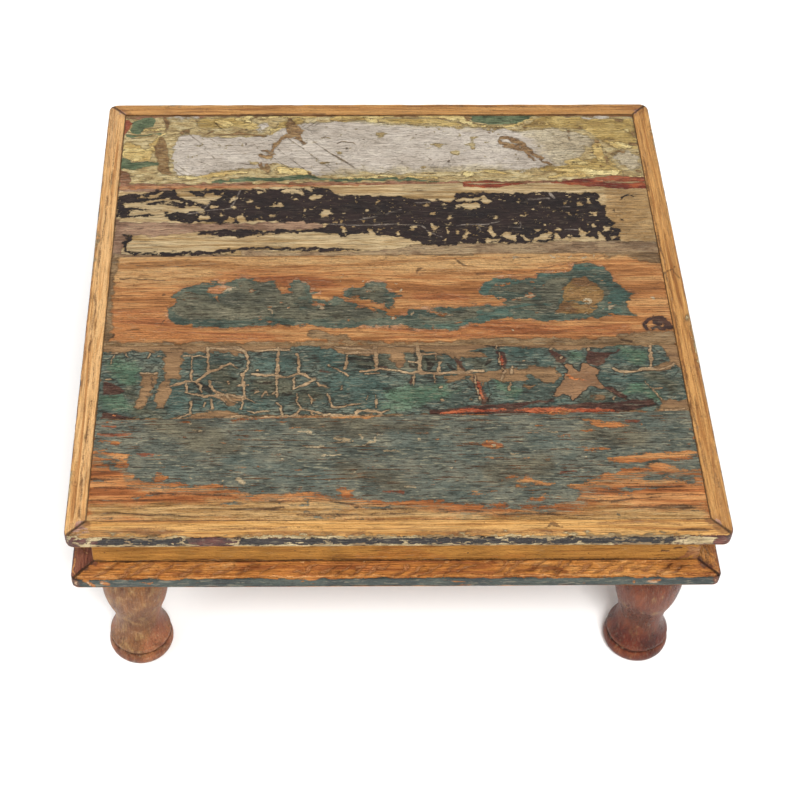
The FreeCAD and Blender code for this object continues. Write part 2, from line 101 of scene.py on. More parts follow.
evenPatterns = ("bands", "fibres", "mottle", "grit")  # those spread over 0 to 1
lineCount, lineFades, lineBreaks = 7, (0.16, 0.02), (0.3, 0.8, 0.3, 1)
poreFades, cutDirtAndShadeFades, ridgeWearAndHighlightFades = (0.09, 0.05), (0.44, 0.37), (0.56, 0.63)
woodHeights = {"lines": -0.12, "pores": -0.15, "grit": 0.12}
woodDefaults = {
    "shift": 0,
    "fibre": 0.3,
    "lines": 0.45,
    "dirt": 0.7,
    "dirtColour": "4A2E1C",
    "cloud": 0.22,
    "relief": 0.5,
}

# What a coat has where its own dictionary doesn't say. It may also have a lip and a rim, the
# strengths of the tones just inside and outside its edge: the lip pale, partly worn paint and partly
# a painted highlight, the rim dark, partly dirt and old ground and partly a painted shadow line.
# It may have a strength of its own, bare, the fibres that it has worn off, onlyOver, the coat that
# it stays on, and crackle, a net of fine cracks.
coatDefaults = {
    # how far grit, fibres and lumps fray the edge, and how soft it is, in mm
    "fray": 0.5, "grainFray": 0.4, "tatter": 0.3, "soft": 0.16,
    # how far the edge wanders, in what lumps, and how far these are drawn out
    "wander": 1, "wanderSize": 4, "wanderStretch": 1.6,
    # its places: shapes less holes, grown by this much, then lumps taken off and lumps added
    "shapes": [], "holes": [], "grow": 0, "flakes": [], "islands": [], "islandRoom": 30,
    # the pattern that its colours follow, and its streaks, specks, fine cuts and ridges: the cuts sunk
    # and dark, partly dirt and partly painted shade, the ridges raised and pale, partly wear and partly
    # a painted highlight
    "tone": "mottle", "streaks": 0.2, "speckle": 0.2,
    "cuts": 0.4, "cutDirtAndShadeColour": "33281E", "ridgesWearAndHighlight": 0.25, "ridgeWearAndHighlightColour": "B8AA8C",
    # the lip's pale colour stands for worn paint and a painted highlight, the rim's dark colour for dirt and
    # a painted shadow line
    "lipWearAndHighlightColour": "D8C7A0", "rimDirtAndShadeColour": "2E2019",
    # how thick it looks, how far it hides the grain, and what it does to the mesh
    "thickness": 0.3, "smooth": 0, "level": 1, "lift": 0, "rubbing": 0,
}
softPatch = {"fray": 2.5, "tatter": 2.5, "soft": 3, "thickness": 0}  # a change of tone, without an edge
# each mark's colour and depth: dark sunk dashes, dirt and painted shade, and pale raised ones, wear and a
# painted highlight
coatMarks = {"cuts": ("cutDirtAndShadeColour", -0.35), "ridgesWearAndHighlight": ("ridgeWearAndHighlightColour", 0.3)}
bareFade, lipWearAndHighlightFades, rimDirtAndShadeFades, smoothHeight = 0.03, (0.9, 0.1), (-1.3, -0.1), 0.3
crackleSway, crackleCore, crackleDepth = 5, 0.2, -0.3
# the limits of the mottle between which each of these comes and goes
lipWearAndHighlightPatches, rimDirtAndShadePatches, cracklePatches = (0.3, 0.6), (0.2, 0.7, 0.4, 1), (0.25, 0.5)
surfaceLook = {"ior": 1.48, "specular": 0.26, "bump": 3, "duller": 0.12, "glossier": 0.1}


# Colours are written as they look on a screen, and turned to the linear ones that shaders take.
def linear(code):
    channels = [int(code[at:at + 2], 16) / 255 for at in (0, 2, 4)]
    return tuple(c / 12.92 if c <= 0.04045 else ((c + 0.055) / 1.055) ** 2.4 for c in channels) + (1,)


# Adds a node with its settings. An input is a value, another node's output, or another node,
# whose first output in use is meant.
def addNode(tree, kind, inputs=(), **settings):
    node = tree.nodes.new("ShaderNode" + kind)
    for name, value in settings.items():
        setattr(node, name, value)
    for place, value in inputs.items() if isinstance(inputs, dict) else enumerate(inputs):
        if isinstance(value, bpy.types.Node):
            value = next(socket for socket in value.outputs if socket.enabled)
        if isinstance(value, bpy.types.NodeSocket):
            tree.links.new(value, node.inputs[place])
        else:
            node.inputs[place].default_value = value
    return node


# Coordinates in mm, squeezed along the grain so that a pattern is drawn out that way.
def grainCoordinates(tree, axis, stretch, shift):
    scale = [1 / mm] * 3
    scale["XYZ".index(axis)] /= stretch
    place = addNode(tree, "TexCoord").outputs["Object"]
    return addNode(tree, "Mapping", {"Vector": place, "Scale": scale, "Location": (shift,) * 3})


# Lightens and darkens a colour by this much, by a pattern that runs from 0 to 1.
def shaded(tree, colour, pattern, amount):
    shade = addNode(tree, "MapRange", [pattern, 0, 1, 1 - amount, 1 + amount])
    grey = addNode(tree, "CombineXYZ", [shade, shade, shade])
    return addNode(tree, "Mix", {0: 1, 6: colour, 7: grey}, data_type="RGBA", blend_type="MULTIPLY")


# Colours that follow one pattern, each at its own place from 0 to 1, streaked by the fibres.
def toned(tree, pattern, colours, fibres, streaks):
    tones = addNode(tree, "ValToRGB", [pattern])
    stops = tones.color_ramp.elements
    while len(stops) < len(colours):
        stops.new(0.5)
    for stop, (place, code) in zip(stops, colours.items()):
        stop.position = place
        stop.color = linear(code)
    return shaded(tree, tones, fibres, streaks)


# Old pine: wide soft bands, long grain lines and fine fibres, with dark dirt in the open pores.
# Gives the colour, the height in mm and the patterns that the coats on top share.
def woodGround(tree, wood):
    wood = dict(woodDefaults, **wood)
    axis, shift = wood["axis"], wood["shift"]
    ground = {"plain": grainCoordinates(tree, axis, 1, shift), "masks": {}}
    for name, form in woodPatterns.items():
        form = dict(form, **wood.get(name, {}))
        ground[name] = addNode(tree, "TexNoise", {
            "Vector": grainCoordinates(tree, axis, form["stretch"], shift * form["times"] + form["plus"]),
            "Scale": 1 / form["size"],
            "Detail": form["detail"],
            "Roughness": form["roughness"],
            "Distortion": form["distortion"],
        })
    for name in evenPatterns:
        ground[name] = addNode(tree, "MapRange", [ground[name], *noiseRange])
    fibres, grit = ground["fibres"], ground["grit"]
    colour = toned(tree, ground["bands"], wood["colours"], fibres, wood["fibre"])

    # a grain line wherever the slow noise is half way between two of its steps
    wave = addNode(tree, "Math", [ground["rings"], lineCount], operation="MULTIPLY")
    wave = addNode(tree, "Math", [wave], operation="FRACT")
    wave = addNode(tree, "Math", [wave, 0.5], operation="SUBTRACT")
    wave = addNode(tree, "Math", [wave], operation="ABSOLUTE")
    lines = addNode(tree, "MapRange", [wave, *lineFades])
    broken = addNode(tree, "MapRange", [fibres, *lineBreaks])
    lines = addNode(tree, "Math", [lines, broken], operation="MULTIPLY")
    pores = addNode(tree, "Math", [fibres, grit], operation="MULTIPLY")
    pores = addNode(tree, "MapRange", [pores, *poreFades])
    dirtColour = linear(wood["dirtColour"])
    for pattern, strength in ((lines, wood["lines"]), (pores, wood["dirt"])):
        dirt = addNode(tree, "Math", [pattern, strength], operation="MULTIPLY")
        colour = addNode(tree, "Mix", {0: dirt, 6: colour, 7: dirtColour}, data_type="RGBA")
    ground["colour"] = shaded(tree, colour, ground["mottle"], wood["cloud"])

    # dark sunk dashes where the pattern is low, dirt and painted shade, and pale raised ones where it is
    # high, wear and a painted highlight
    ground["cuts"] = addNode(tree, "MapRange", [ground["dashes"], *cutDirtAndShadeFades])
    ground["ridgesWearAndHighlight"] = addNode(tree, "MapRange", [ground["dashes"], *ridgeWearAndHighlightFades])
    height = addNode(tree, "Math", [fibres, wood["relief"]], operation="MULTIPLY")
    for pattern, name in ((lines, "lines"), (pores, "pores"), (grit, "grit")):
        height = addNode(tree, "Math", [pattern, woodHeights[name], height], operation="MULTIPLY_ADD")
    ground["height"] = height
    return ground


# Lays one old coat of paint, or one kind of wear, over what is there. Its attribute says how far
# inside the coat a point lies, in mm, and the grit and the grain fray that edge.
def coatOver(tree, ground, name, coat):
    fibres, mottle = ground["fibres"], ground["mottle"]
    edge = addNode(tree, "Attribute", attribute_name=name, attribute_type="GEOMETRY").outputs["Fac"]
    for pattern, limits, reach in (("grit", (0, 1), "fray"), ("fibres", (0, 1), "grainFray"),
                                   ("tatter", noiseRange, "tatter")):
        part = addNode(tree, "MapRange", [ground[pattern], *limits, -coat[reach], coat[reach]])
        edge = addNode(tree, "Math", [edge, part], operation="ADD")
    mask = addNode(tree, "MapRange", [edge, -coat["soft"], coat["soft"]])
    if "bare" in coat:
        worn = addNode(tree, "MapRange", [fibres, coat["bare"] - bareFade, coat["bare"] + bareFade])
        mask = addNode(tree, "Math", [mask, worn], operation="MULTIPLY")
    if "strength" in coat:
        mask = addNode(tree, "Math", [mask, coat["strength"]], operation="MULTIPLY")
    if "onlyOver" in coat:
        mask = addNode(tree, "Math", [mask, ground["masks"][coat["onlyOver"]]], operation="MULTIPLY")

    colour = toned(tree, ground[coat["tone"]], coat["colours"], fibres, coat["streaks"])
    colour = shaded(tree, colour, ground["grit"], coat["speckle"])
    lifted = smoothHeight * coat["smooth"] + coat["thickness"]
    above = addNode(tree, "Math", [ground["height"], 1 - coat["smooth"], lifted], operation="MULTIPLY_ADD")
    # the dark sunk dashes, dirt and painted shade, and the pale raised ones, wear and a painted highlight,
    # each laid in colour and in height
    for mark, (markColour, depth) in coatMarks.items():
        part = addNode(tree, "Math", [ground[mark], coat[mark]], operation="MULTIPLY")
        colour = addNode(tree, "Mix", {0: part, 6: colour, 7: linear(coat[markColour])}, data_type="RGBA")
        above = addNode(tree, "Math", [part, depth, above], operation="MULTIPLY_ADD")
    height = addNode(tree, "Mix", {0: mask, 2: ground["height"], 3: above}, data_type="FLOAT")

    # the lip just inside the edge, pale, partly worn paint and partly a painted highlight, and the
    # dark rim just outside it, partly dirt and old ground and partly a painted shadow line
    below = ground["colour"]
    if "lip" in coat:
        lip = addNode(tree, "MapRange", [edge, *lipWearAndHighlightFades])
        patchy = addNode(tree, "MapRange", [mottle, *lipWearAndHighlightPatches])
        lip = addNode(tree, "Math", [lip, patchy], operation="MULTIPLY")
        lip = addNode(tree, "Math", [lip, coat["lip"]], operation="MULTIPLY")
        colour = addNode(tree, "Mix", {0: lip, 6: colour, 7: linear(coat["lipWearAndHighlightColour"])}, data_type="RGBA")
    if "rim" in coat:
        rim = addNode(tree, "MapRange", [edge, *rimDirtAndShadeFades])
        rim = addNode(tree, "Math", [rim, coat["rim"]], operation="MULTIPLY")
        patchy = addNode(tree, "MapRange", [mottle, *rimDirtAndShadePatches])
        rim = addNode(tree, "Math", [rim, patchy], operation="MULTIPLY")
        below = addNode(tree, "Mix", {0: rim, 6: below, 7: linear(coat["rimDirtAndShadeColour"])}, data_type="RGBA")
    if "crackle" in coat:
        net = coat["crackle"]
        bent = addNode(tree, "VectorMath", [ground["plain"], (1 / net["stretch"], 1, 1)],
                       operation="MULTIPLY")
        sway = addNode(tree, "Math", [mottle, crackleSway], operation="MULTIPLY")
        bent = addNode(tree, "VectorMath", [bent, sway], operation="ADD")
        cells = addNode(tree, "TexVoronoi", {"Vector": bent, "Scale": 1 / net["size"]},
                        feature="DISTANCE_TO_EDGE")
        width = net["width"] / net["size"]
        line = addNode(tree, "MapRange", [cells, width, crackleCore * width])
        patchy = addNode(tree, "MapRange", [mottle, *cracklePatches])
        for factor in (mask, net["strength"], patchy):
            line = addNode(tree, "Math", [line, factor], operation="MULTIPLY")
        colour = addNode(tree, "Mix", {0: line, 6: colour, 7: linear(net["colour"])}, data_type="RGBA")
        height = addNode(tree, "Math", [line, crackleDepth, height], operation="MULTIPLY_ADD")
    colour = addNode(tree, "Mix", {0: mask, 6: below, 7: colour}, data_type="RGBA")
    return dict(ground, colour=colour, height=height, masks=dict(ground["masks"], **{name: mask}))


# A look's coats, from the first to the last, each with the defaults for what it leaves out.
def coatsOf(look):
    return {name: dict(coatDefaults, **coat) for name, coat in look.get("coats", {}).items()}


# A finished surface: wood, the coats over it, and the relief and gloss of both.
def makeFinish(name, look):
    material = bpy.data.materials.new(name)
    material.use_nodes = True
    tree = material.node_tree
    tree.nodes.clear()
    surface = woodGround(tree, look["wood"])
    for coatName, coat in coatsOf(look).items():
        surface = coatOver(tree, surface, coatName, coat)
    relief = addNode(tree, "Bump", {"Height": surface["height"], "Distance": surfaceLook["bump"] * mm})
    roughness = (look["gloss"] - surfaceLook["glossier"], look["gloss"] + surfaceLook["duller"])
    skin = addNode(tree, "BsdfPrincipled", {
        "Base Color": surface["colour"],
        "Roughness": addNode(tree, "MapRange", [surface["mottle"], 0, 1, *roughness]),
        "Normal": relief,
        "IOR": surfaceLook["ior"],
        "Specular IOR Level": surfaceLook["specular"],
    })
    addNode(tree, "OutputMaterial", [skin])
    return material


latticeSize, latticeMiddle = 256, 900
lumpShare, lumpRatio = 0.6, 0.45  # the finer lumps of a flake: how strong and how large
fieldStart, fieldRoom, fieldLimit = -8, 8, 6
wanderOctaves, wanderRatio = 3, 0.6
coatStep = 0.8  # mm over which the mesh steps up to a coat


# Smooth noise from -1 to 1 over a plan in mm, in lumps of this size, drawn out along x by stretch.
def drift(x, y, size, seed, stretch=1.0):
    across, up = x / (size * stretch) + latticeMiddle, y / size + latticeMiddle
    column, row = np.floor(across).astype(int), np.floor(up).astype(int)
    partX, partY = across - column, up - row
    partX, partY = partX * partX * (3 - 2 * partX), partY * partY * (3 - 2 * partY)
    lattice = np.random.RandomState(seed).uniform(-1, 1, (latticeSize, latticeSize))

    def corner(right, above):
        return lattice[(row + above) % latticeSize, (column + right) % latticeSize]

    low = corner(0, 0) * (1 - partX) + corner(1, 0) * partX
    high = corner(0, 1) * (1 - partX) + corner(1, 1) * partX
    return low * (1 - partY) + high * partY


# A shape's points. One in round brackets is a brush stroke, x, y and radius for each point, and
# one in square brackets is an outline, x and y for each.
def pointsOf(shape):
    each = 3 if isinstance(shape, tuple) else 2
    return [shape[at:at + each] for at in range(0, len(shape), each)]


# How far each place is from the line between two points, and how far along that line it lies.
def fromLine(x, y, start, end):
    dx, dy = end[0] - start[0], end[1] - start[1]
    along = np.clip(((x - start[0]) * dx + (y - start[1]) * dy) / (dx * dx + dy * dy), 0, 1)
    return np.hypot(x - start[0] - dx * along, y - start[1] - dy * along), along


# How far inside a shape each place lies, in mm, and under zero outside it.
def insideShape(x, y, shape):
    points = pointsOf(shape)
    first = points[0]
    if isinstance(shape, tuple):
        best = first[2] - np.hypot(x - first[0], y - first[1])
        for start, end in zip(points, points[1:]):
            away, along = fromLine(x, y, start, end)
            best = np.maximum(best, start[2] + (end[2] - start[2]) * along - away)
        return best
    nearest = np.full(x.shape, np.inf)
    inside = np.zeros(x.shape, bool)
    for start, end in zip(points, points[1:] + points[:1]):
        nearest = np.minimum(nearest, fromLine(x, y, start, end)[0])
        if start[1] != end[1]:
            crosses = (start[1] > y) != (end[1] > y)
            meets = start[0] + (y - start[1]) * (end[0] - start[0]) / (end[1] - start[1])
            inside ^= crosses & (x < meets)
    return np.where(inside, nearest, -nearest)


# The field of one coat: its shapes less its holes, with a wandering edge. Over zero is inside.
def coatField(x, y, coat, seed):
    bentX, bentY = x.copy(), y.copy()
    for octave in range(wanderOctaves):
        part = wanderRatio ** octave
        size = coat["wanderSize"] * part
        bentX += coat["wander"] * part * drift(x, y, size, seed + 40 * octave)
        bentY += coat["wander"] * part * drift(x, y, size, seed + 2 + 40 * octave, coat["wanderStretch"])
    field = np.full(x.shape, float(fieldStart))

    # only the places near a shape are measured
    def near(shape):
        points = pointsOf(shape)
        xs, ys = [point[0] for point in points], [point[1] for point in points]
        room = fieldRoom + max(sum(point[2:]) for point in points)
        return ((bentX > min(xs) - room) & (bentX < max(xs) + room)
                & (bentY > min(ys) - room) & (bentY < max(ys) + room))

    # lumps of this size, drawn out by stretch, and over zero where they pass the cut
    def lumps(size, cut, stretch, amount, start):
        coarse = drift(x, y, size, start, stretch)
        fine = drift(x, y, size * lumpRatio, start + 1, stretch)
        return (coarse + lumpShare * fine - cut) * size * amount

    for shape in coat["shapes"]:
        part = near(shape)
        field[part] = np.maximum(field[part], insideShape(bentX[part], bentY[part], shape))
    for shape in coat["holes"]:
        part = near(shape)
        field[part] = np.minimum(field[part], -insideShape(bentX[part], bentY[part], shape))
    for flake in coat["flakes"]:
        field = np.minimum(field, -lumps(*flake, seed + 5))
    for island in coat["islands"]:
        field = np.maximum(field, np.minimum(lumps(*island, seed + 7), coat["islandRoom"] + field))
    return np.clip(field + coat["grow"], -fieldLimit, fieldLimit)


# How far the mesh has stepped up to a coat, from 0 outside it to 1 inside.
def stepUp(field):
    return np.clip(field / coatStep + 0.5, 0, 1)


def finishPiece(sheet, name, material, replaced):
    mesh = bpy.data.meshes.new(name)
    sheet.to_mesh(mesh)
    sheet.free()
    piece = bpy.data.objects.new(name, mesh)
    bpy.context.scene.collection.objects.link(piece)
    mesh.materials.append(material)
    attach(piece, rootBody)
    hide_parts(replaced)
    return piece


# Gives a bmesh's vertices the coats' fields, which the materials read by the coats' names.
def writeFields(sheet, fields):
    for name, field in fields.items():
        layer = sheet.verts.layers.float.new(name)
        for vertex, value in zip(sheet.verts, field):
            vertex[layer] = value


# The boards' boxes, and the y of each joint between them at its left and right ends.
boardNames = [f"top_plank_{number}" for number in range(1, 6)]
boardBoxes = [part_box(name) for name in boardNames]
seams = [(boardBoxes[0][1].y, boardBoxes[0][1].y)]
seams += [(rear[0].y, front[1].y) for rear, front in zip(boardBoxes, boardBoxes[1:])]
seams += [(boardBoxes[-1][0].y, boardBoxes[-1][0].y)]

# A board's mesh, in mm. Each drift is the size of its lumps and how far they are drawn out.
boardMesh = {
    "pitch": 0.85,
    "grainDepth": 0.1,
    "fineGrain": (1.7, 26),
    "wideGrain": (4.5, 18),
    "hollow": 0.25,
    "hollowDrift": (45, 2.5),
    "paintDepth": 0.16,
    "arris": 0.55,
    "arrisDrift": (9, 2),
    "arrisUneven": 0.6,
    "endArris": 0.3,
    "arrisReach": 0.9,
}


# A board: a fine sheet laid between its two slanting joints, with sides and an underside below it.
def makeBoard(index, look, material):
    low, high = boardBoxes[index]
    rear, front = seams[index], seams[index + 1]
    columns = round((high.x - low.x) / (boardMesh["pitch"] * mm))
    rows = round((high.y - low.y) / (boardMesh["pitch"] * mm))
    sheet = bmesh.new()
    bmesh.ops.create_grid(sheet, x_segments=columns, y_segments=rows, size=0.5)
    for vertex in sheet.verts:
        across, up = vertex.co.x + 0.5, vertex.co.y + 0.5
        rearY = rear[0] + (rear[1] - rear[0]) * across
        frontY = front[0] + (front[1] - front[0]) * across
        vertex.co = (low.x + (high.x - low.x) * across, frontY + (rearY - frontY) * up, high.z)
    border = [edge for edge in sheet.edges if edge.is_boundary]
    skirt = bmesh.ops.extrude_edge_only(sheet, edges=border)["geom"]
    skirt = [item for item in skirt if isinstance(item, bmesh.types.BMVert)]
    bmesh.ops.translate(sheet, verts=skirt, vec=(0, 0, low.z - high.z))
    bmesh.ops.holes_fill(sheet, edges=[edge for edge in sheet.edges if edge.is_boundary], sides=0)
    bmesh.ops.recalc_face_normals(sheet, faces=sheet.faces)
    name = boardNames[index]
    piece = finishPiece(sheet, f"{name}_worn", material, name)

    # the top is then worn down: grain, hollows, bare wood lower than paint, and rubbed arrises
    mesh = piece.data
    points = np.empty(len(mesh.vertices) * 3)
    mesh.vertices.foreach_get("co", points)
    points = points.reshape(-1, 3)
    x, y = points[:, 0] / mm, points[:, 1] / mm
    top = points[:, 2] > (low.z + high.z) / 2
    seed = 100 * (index + 1)

    def worn(depth, form, offset):
        size, stretch = boardMesh[form]
        return depth * (1 + drift(x, y, size, seed + offset, stretch)) / 2

    relief = -worn(boardMesh["grainDepth"], "fineGrain", 0)
    relief -= worn(boardMesh["grainDepth"], "wideGrain", 1)
    relief -= worn(boardMesh["hollow"], "hollowDrift", 2)
    cover = np.zeros(len(points))
    for number, (coatName, coat) in enumerate(coatsOf(look).items()):
        field = coatField(x, y, coat, seed + 10 * number)
        values = np.where(top, field, -fieldLimit).astype(np.float32)
        mesh.attributes.new(coatName, "FLOAT", "POINT").data.foreach_set("value", values)
        step = stepUp(field)
        cover = cover * (1 - step) + step * coat["level"]
    relief -= boardMesh["paintDepth"] * (1 - cover)
    across = (points[:, 0] - low.x) / (high.x - low.x)
    rearY = (rear[0] + (rear[1] - rear[0]) * across) / mm
    frontY = (front[0] + (front[1] - front[0]) * across) / mm
    edge = np.minimum(rearY - y, y - frontY)
    size, stretch = boardMesh["arrisDrift"]
    arris = boardMesh["arris"] * (1 + boardMesh["arrisUneven"] * drift(x, y, size, seed + 4, stretch))
    relief -= arris * np.exp(-(edge / boardMesh["arrisReach"]) ** 2)
    ends = np.minimum(x - low.x / mm, high.x / mm - x)
    relief -= boardMesh["endArris"] * np.exp(-(ends / boardMesh["arrisReach"]) ** 2)
    points[:, 2] += np.where(top, np.minimum(relief, 0) * mm, 0)
    mesh.vertices.foreach_set("co", points.ravel())
    mesh.update()
    return piece


